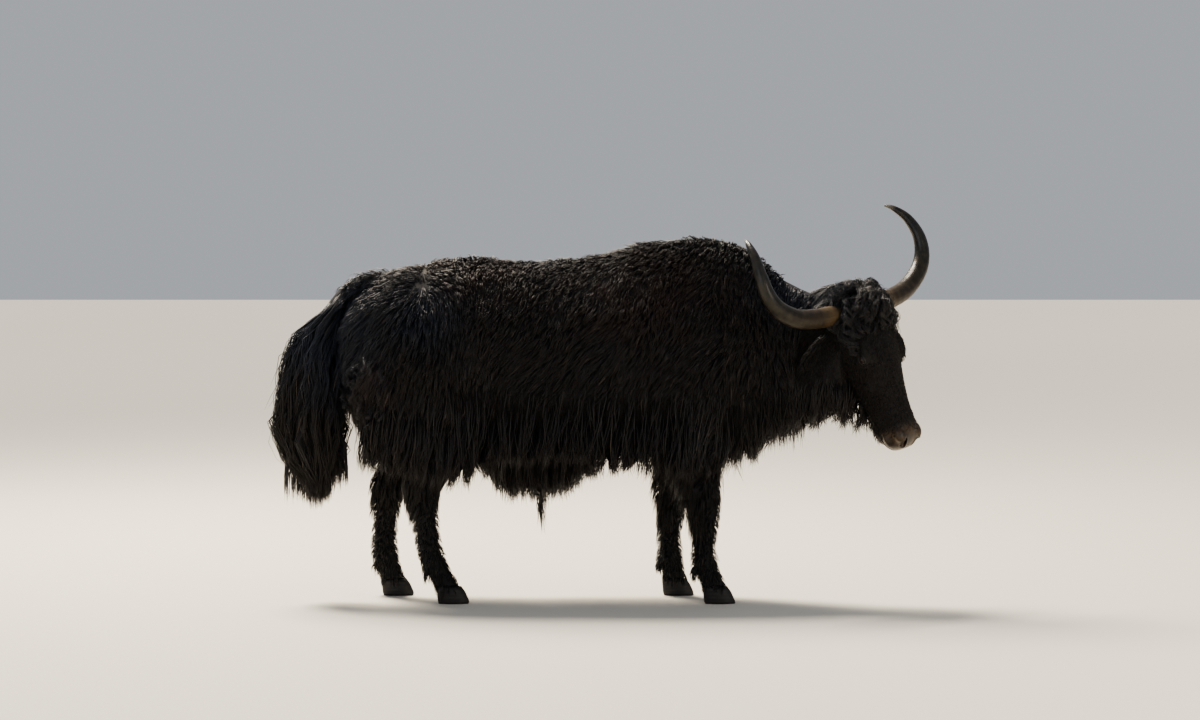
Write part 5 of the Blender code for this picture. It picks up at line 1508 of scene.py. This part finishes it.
horns = {side: horn(f"horn_{word}", side) for side, word in ((RIGHT, "right"), (LEFT, "left"))}
print("horns", [len(made.data.vertices) for made in horns.values()], "points")

# %% [markdown]
# ## Hooves
# Each foot stands on two claws with a cleft between them. A claw is a tube of short rings,
# pointed in front, flat on its inner side and a little wider at the ground than at the coronet.

# %% Hooves
HOOF_TOP = 0.062
CLEFT = 0.004
HOOF_X = {("fore", RIGHT): 0.430, ("fore", LEFT): 0.283,
          ("hind", RIGHT): -0.556, ("hind", LEFT): -0.774}
# height, shift ahead, half length, half width
CLAW = [
    (0.000, 0.014, 0.0545, 0.0238), (0.004, 0.014, 0.0570, 0.0250),
    (0.012, 0.012, 0.0572, 0.0254), (0.024, 0.009, 0.0552, 0.0252),
    (0.040, 0.005, 0.0520, 0.0248), (0.052, 0.000, 0.0485, 0.0242),
    (HOOF_TOP - 0.0006, -0.003, 0.0445, 0.0232),
]


def claw(name, x, y, outer):
    """One claw, flat on the side of the cleft."""
    rings = []
    for number, (z, shift, long, wide) in enumerate(CLAW):
        ring = []
        for k in range(28):
            angle = 2 * math.pi * k / 28
            along, across = math.cos(angle), math.sin(angle)
            pinch = 1.0 - 0.30 * max(0.0, along) ** 2
            flat = 1.0 if across * outer > 0 else 0.55
            inset = y + outer * (CLEFT / 2 + wide * 0.55 + 0.0004)
            ring.append(Vector((x + shift + long * along, inset + wide * across * pinch * flat, z)))
        rings.append(ring)
    made = extruded(name, rings)
    made.data.shade_smooth()
    return made


claws = {}
for (kind, side), x in HOOF_X.items():
    word = "right" if side == RIGHT else "left"
    for outer, place in ((side, "outer"), (-side, "inner")):
        name = f"claw_{kind}_{word}_{place}"
        y = BODY_Y + side * LEG_Y[kind][1]
        claws[name] = claw(f"hoof_{kind}_{word}_{place}", x, y, outer)
print("hooves", len(claws))

# %% [markdown]
# ## Eyes
# The eyeballs are balls set deep under the lids. Each point stores how far it lies from the
# middle of the pupil. Steps along the lids count for less than steps across them, which draws
# the pupil as the wide oval that a yak has.

# %% Eyes
PUPIL_HIGH = 0.72  # the pupil's height as a share of its width
eyes = {}
for side, word in ((RIGHT, "right"), (LEFT, "left")):
    bpy.ops.object.select_all(action="DESELECT")
    bpy.ops.mesh.primitive_uv_sphere_add(segments=48, ring_count=32, radius=EYE_RADIUS)
    eyeball = bpy.context.object
    eyeball.name = f"eyeball_{word}"
    place = Matrix.Translation(on_head(EYE.x, side * EYE.y, EYE.z))
    eyeball.data.transform(place @ HEAD_TURNED.to_4x4())
    eyeball.data.shade_smooth()
    centre, out, long, high = eye_axes(side)
    spread = []
    for vertex in eyeball.data.vertices:
        off = (vertex.co - centre) / EYE_RADIUS
        flat_off = Vector((off.dot(long) * PUPIL_HIGH, off.dot(high)))
        spread.append(flat_off.length if off.dot(out) > 0 else 1.0)
    store(eyeball.data, "from_pupil", spread)
    eyes[word] = eyeball
print("eyeballs", len(eyes))

# %% [markdown]
# ## Colour of the hair and the skin
# Black hair is never one black. The sun bleaches it to a reddish brown over the shoulder and
# the upper flank. The rump, the tail and the mane get a painted sheen, a blue-black for the sky's
# gloss on them, and tips are paler than roots. The same soft areas, placed in metres, tint the
# coat and the skin under it, so that a gap between tufts looks darker but not of another colour.

# %% Area masks
# what it tints, middle, reach along each axis
AREAS = {
    "russet": [((0.14, BODY_Y, 1.13), (0.42, 0.60, 0.22)),
               ((-0.47, BODY_Y, 1.20), (0.26, 0.6, 0.14)),
               ((-0.875, -0.20, 0.80), (0.13, 0.20, 0.14))],
    # painted sheen: a blue-black that stands in for the sky's gloss on the rump, the mane and the
    # hip
    "painted_sky_sheen": [((-0.98, BODY_Y, 1.02), (0.30, 0.50, 0.34)),
             ((0.74, BODY_Y - 0.06, 1.16), (0.22, 0.4, 0.16)),
             ((-0.66, BODY_Y, 1.06), (0.22, 0.60, 0.18))],
    "brown_face": [(tuple(on_head(0.36, 0, 0)), (0.26, 0.26, 0.26))],
}


def value(tree, operation, *inputs):
    """A math node on one, two or three values."""
    made = add_node(tree, "ShaderNodeMath", dict(enumerate(inputs)), operation=operation)
    return made.outputs[0]


def mix(tree, share, first, second):
    """Mixes two colours, each a hex code or another node's output."""
    first, second = (colour(c) if isinstance(c, str) else c for c in (first, second))
    made = add_node(tree, "ShaderNodeMix", {0: share, 6: first, 7: second}, data_type="RGBA")
    return made.outputs[2]


def from_points(tree, name, kind="Fac"):
    """What the mesh's points store under a name."""
    return add_node(tree, "ShaderNodeAttribute", attribute_name=name).outputs[kind]


def gradient(tree, share, stops):
    """A colour that runs through the stops, each a position and a hex code."""
    made = add_node(tree, "ShaderNodeValToRGB", {"Fac": share})
    marks = made.color_ramp.elements
    while len(marks) < len(stops):
        marks.new(0.5)
    for mark, (position, code) in zip(marks, stops):
        mark.position = position
        mark.color = colour(code)
    return made.outputs["Color"]


def raised(tree, surface, height, strength, distance):
    """Lets a pattern of heights tilt the light on a surface."""
    made = add_node(tree, "ShaderNodeBump", {"Height": height, "Strength": strength,
                                             "Distance": distance})
    tree.links.new(made.outputs["Normal"], surface.inputs["Normal"])


def area(tree, place, name):
    """1 in the middle of an area, fading to 0 past its reach."""
    found = None
    for middle, reach in AREAS[name]:
        off = add_node(tree, "ShaderNodeVectorMath", {0: place, 1: middle}, operation="SUBTRACT")
        scaled = add_node(tree, "ShaderNodeVectorMath", {0: off.outputs[0], 1: reach},
                          operation="DIVIDE")
        far = add_node(tree, "ShaderNodeVectorMath", {0: scaled.outputs[0]}, operation="LENGTH")
        span = {"Value": far.outputs["Value"], "From Min": 1.15, "From Max": 0.35}
        fade = add_node(tree, "ShaderNodeMapRange", span, interpolation_type="SMOOTHSTEP")
        here = fade.outputs["Result"]
        found = here if found is None else value(tree, "MAXIMUM", found, here)
    return found


def spots(tree, place, scale, detail=3.0, low=0.35, high=0.65):
    """Soft noise stretched to run from 0 to 1."""
    made = add_node(tree, "ShaderNodeTexNoise", {"Vector": place, "Scale": scale, "Detail": detail})
    return add_node(tree, "ShaderNodeMapRange", {"Value": made.outputs["Fac"], "From Min": low,
                                                 "From Max": high}).outputs["Result"]


def marked(tree, place):
    """The coat's colour at its roots and in its areas, painted sheen too, on skin and tufts alike.
    """
    shade = mix(tree, spots(tree, place, 6.0), "0d0c0c", "151211")
    russet = value(tree, "MULTIPLY", area(tree, place, "russet"), spots(tree, place, 11.0))
    shade = mix(tree, value(tree, "MULTIPLY", russet, 0.75), shade, "382218")
    # painted sheen: blue-black on the rump, the tail and the mane, in place of the sky's gloss on
    # them
    painted_sky_sheen = value(tree, "MULTIPLY", area(tree, place, "painted_sky_sheen"), 0.85)
    shade = mix(tree, painted_sky_sheen, shade, "0e1624")
    brown = value(tree, "MULTIPLY", area(tree, place, "brown_face"), 0.7)
    return mix(tree, brown, shade, "1a110b")


# %% [markdown]
# A yak's outer hair is coarse, black and slightly greasy. To the eye it isn't the even black of
# paint: roots are darkest, tips have bleached to brown, about one tuft in seventy is a pale
# grey-brown, and on the rump, the tail and the mane the tips are painted blue-grey, a painted
# sheen of the sky. The forelock is glossier, and its greyer tips are partly a painted highlight.
# The face's short hair is duller and browner.

# %% Coarse black hair
def hair_material(name, tip_code, tip_share, rough, sheen):
    """Tips paler than roots, a few pale tufts, and fine streaks that part a tuft into hairs."""
    made, tree, surface = new_material(name)
    place = add_node(tree, "ShaderNodeTexCoord").outputs["Object"]
    along = from_points(tree, "along")
    strand = from_points(tree, "strand")
    streaks = spots(tree, from_points(tree, "comb", "Vector"), 2.6, 2.0)
    shade = marked(tree, place)
    reach = value(tree, "MULTIPLY", value(tree, "POWER", along, 1.6), tip_share)
    own = value(tree, "ADD", value(tree, "MULTIPLY", strand, 0.9), 0.25)
    uneven = value(tree, "MULTIPLY", reach, own)
    # painted sheen: in the same areas the tips are painted a pale blue-grey, the sky's gloss on
    # them
    painted_sheen_share = value(tree, "MULTIPLY", area(tree, place, "painted_sky_sheen"), 0.85)
    shade = mix(tree, uneven, shade, mix(tree, painted_sheen_share, tip_code, "45546c"))
    bleached = value(tree, "GREATER_THAN", strand, 0.985)
    shade = mix(tree, value(tree, "MULTIPLY", bleached, along), shade, "6f6152")
    shade = mix(tree, value(tree, "MULTIPLY", streaks, 0.45), shade, "060506")
    tree.links.new(shade, surface.inputs["Base Color"])
    raised(tree, surface, streaks, 0.5, 0.0008)
    surface.inputs["Roughness"].default_value = rough
    surface.inputs["Specular IOR Level"].default_value = 0.45
    surface.inputs["Sheen Weight"].default_value = sheen
    surface.inputs["Sheen Roughness"].default_value = 0.45
    surface.inputs["Sheen Tint"].default_value = colour("aeb6c4")
    return made


black_coat = hair_material("black_yak_hair", "3a2d24", 0.55, 0.40, 0.10)
# the curls' pale grey tips are partly a painted highlight of the light on them
curly_coat = hair_material("forelock_hair", "56504e", 0.70, 0.30, 0.22)
face_hair = hair_material("short_face_hair", "261a11", 0.60, 0.46, 0.04)
print("hair", black_coat.name, curly_coat.name, face_hair.name)

# %% [markdown]
# Under the coat the skin only has to be a little darker than the roots. At the muzzle it is bare:
# a golden-brown pad with a fine grain of furrows. It stays moist, so it is smoother and shinier
# than the rest, and it is nearly black in the nostrils, on the lids and along the lips.

# %% Skin and the bare muzzle
skin_paint, tree, surface = new_material("dark_yak_skin")
place = add_node(tree, "ShaderNodeTexCoord").outputs["Object"]
bare = from_points(tree, "bare")
lips = from_points(tree, "lips")
pad = mix(tree, spots(tree, place, 26.0), "1c1208", "463114")
pad = mix(tree, value(tree, "MULTIPLY", spots(tree, place, 90.0), 0.45), pad, "130d07")
pad = mix(tree, lips, pad, "0b0808")
shade = mix(tree, bare, mix(tree, 0.55, marked(tree, place), "050505"), pad)
tree.links.new(shade, surface.inputs["Base Color"])
grain = add_node(tree, "ShaderNodeTexVoronoi", {"Vector": place, "Scale": 300.0},
                 feature="DISTANCE_TO_EDGE")
height = value(tree, "MULTIPLY", grain.outputs["Distance"], bare)
raised(tree, surface, height, 0.5, 0.0015)
rough = add_node(tree, "ShaderNodeMapRange", {"Value": bare, "To Min": 0.85, "To Max": 0.34})
tree.links.new(rough.outputs["Result"], surface.inputs["Roughness"])
print("material", skin_paint.name)

# %% [markdown]
# The material asks the skin's points where they are bare and where they are lips. Distances
# answer that: how far down the nose a point lies, and how far from the edge of the lids, from a
# nostril and from the mouth's line. Each answer fades from 1 to 0, so no hard border shows.

# %% Marks for the bare skin
points = coordinates(skin.data)
off = points - np.array(POLL)
pad_share = np.clip((off @ np.array(ALONG) - 0.470) / 0.030, 0, 1) * (ahead_of_neck(points) > 0.1)
rim_share = np.zeros(len(points))
for side in (RIGHT, LEFT):
    stand, u, v, share = lid_places(points, side)
    rim = np.clip((1.55 - share) / 0.30, 0, 1) * (stand > 0) * (np.hypot(u, v) < 0.024)
    rim_share = np.maximum(rim_share, rim)
nostril_share = np.zeros(len(points))
for side in (RIGHT, LEFT):
    opening = np.array(on_head(NOSTRIL.x - 0.006, side * NOSTRIL.y, NOSTRIL.z))
    far = np.linalg.norm(points - opening, axis=1)
    nostril_share = np.maximum(nostril_share, np.clip((0.016 - far) / 0.006, 0, 1))
mouth_share = np.clip((0.0060 - distance_to(points, mouth)) / 0.0030, 0, 1)
for name, shares in (("bare", np.maximum(pad_share, rim_share)),
                     ("lips", np.maximum.reduce([nostril_share, mouth_share, rim_share]))):
    store(skin.data, name, shares)
print("bare skin at", int((pad_share > 0.5).sum()), "points")

# %% [markdown]
# ## Colour of the horns, the hooves and the eyes
# Horn is layered keratin with long fibres. At the base it is rough and brown with a paler band,
# then it darkens and turns to slate, and it is polished towards the worn, pale point. The place
# along the horn decides, and it was stored on the horn's points above.

# %% Grey horn
# share of the way from the base to the point, colour
HORN_TONES = ((0.00, "2a1e12"), (0.09, "584832"), (0.19, "2a1e11"), (0.40, "1a140c"),
              (0.58, "171917"), (0.78, "161b20"), (0.93, "0f1114"), (1.00, "8a877d"))
horn_paint, tree, surface = new_material("grey_horn")
place = add_node(tree, "ShaderNodeTexCoord").outputs["Object"]
reach = from_points(tree, "reach")
long_fibres = spots(tree, from_points(tree, "fibre", "Vector"), 5.0, 5.0, 0.3, 0.7)
tone = gradient(tree, reach, HORN_TONES)
shade = mix(tree, value(tree, "MULTIPLY", long_fibres, 0.45), tone, "1d1710")
shade = mix(tree, value(tree, "MULTIPLY", spots(tree, place, 40.0), 0.07), shade, "8f8167")
tree.links.new(shade, surface.inputs["Base Color"])
raised(tree, surface, long_fibres, 0.35, 0.0012)
surface.inputs["Specular IOR Level"].default_value = 0.35
rough = add_node(tree, "ShaderNodeMapRange", {"Value": reach, "To Min": 0.50, "To Max": 0.22})
tree.links.new(rough.outputs["Result"], surface.inputs["Roughness"])
print("material", horn_paint.name)

# %% [markdown]
# Hoof horn is worn by stones, so it is nearly black, rough and dull, with faint level rings
# where it grew. A wave texture gives the rings, about four to the height of a hoof.

# %% Dull black hoof
hoof_paint, tree, surface = new_material("dark_hoof_horn")
place = add_node(tree, "ShaderNodeTexCoord").outputs["Object"]
rings = add_node(tree, "ShaderNodeTexWave", {"Vector": place, "Scale": 22.0, "Distortion": 1.2,
                                             "Detail": 2.0}, bands_direction="Z")
shade = mix(tree, rings.outputs["Fac"], "0c0a09", "18130f")
shade = mix(tree, value(tree, "MULTIPLY", spots(tree, place, 60.0), 0.35), shade, "241e19")
tree.links.new(shade, surface.inputs["Base Color"])
raised(tree, surface, rings.outputs["Fac"], 0.35, 0.001)
surface.inputs["Roughness"].default_value = 0.6
print("material", hoof_paint.name)

# %% [markdown]
# A large bovine eye looks almost black. What makes it alive is the wet film over it, so the
# surface is very smooth with a thin clear coat, which mirrors the lamps as small bright spots.

# %% Wet dark eye
# distance from the pupil's middle in radii of the ball, colour
EYE_TONES = ((0.00, "010101"), (0.24, "010101"), (0.28, "140b06"), (0.44, "22140b"),
             (0.50, "080504"), (0.62, "18120e"))
eye_paint, tree, surface = new_material("wet_dark_eye")
tone = gradient(tree, from_points(tree, "from_pupil"), EYE_TONES)
tree.links.new(tone, surface.inputs["Base Color"])
surface.inputs["Roughness"].default_value = 0.04
surface.inputs["Specular IOR Level"].default_value = 0.25
surface.inputs["Coat Weight"].default_value = 0.4
surface.inputs["Coat Roughness"].default_value = 0.02
print("material", eye_paint.name)

# %% [markdown]
# One material can serve many pieces. It is handed to each here, once all of them exist.

# %% Give each piece its material
skin.data.materials.append(skin_paint)
skin.data.shade_smooth()
for name, made in coat.items():
    made.data.materials.append({"forelock": curly_coat, "thigh_mats": curly_coat,
                                "face_coat": face_hair}.get(name, black_coat))
for made in horns.values():
    made.data.materials.append(horn_paint)
for made in claws.values():
    made.data.materials.append(hoof_paint)
for made in eyes.values():
    made.data.materials.append(eye_paint)
print("pieces", 1 + len(coat) + len(horns) + len(claws) + len(eyes))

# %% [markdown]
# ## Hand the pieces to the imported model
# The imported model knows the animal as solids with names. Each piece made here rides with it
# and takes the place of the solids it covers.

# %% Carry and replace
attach(skin, "root")
for node in ("head", "neck", "tail", "shoulders", "barrel", "rump", "foreleg_right", "foreleg_left",
             "hindleg_right", "hindleg_left", "ear_right", "ear_left"):
    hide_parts(node)
for name, made in coat.items():
    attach(made, "root")
for side, word in ((RIGHT, "right"), (LEFT, "left")):
    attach(horns[side], "root")
    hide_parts(f"horn_{word}")
    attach(eyes[word], "root")
    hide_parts(f"eye_{word}")
for node, made in claws.items():
    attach(made, "root")
    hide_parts(node)
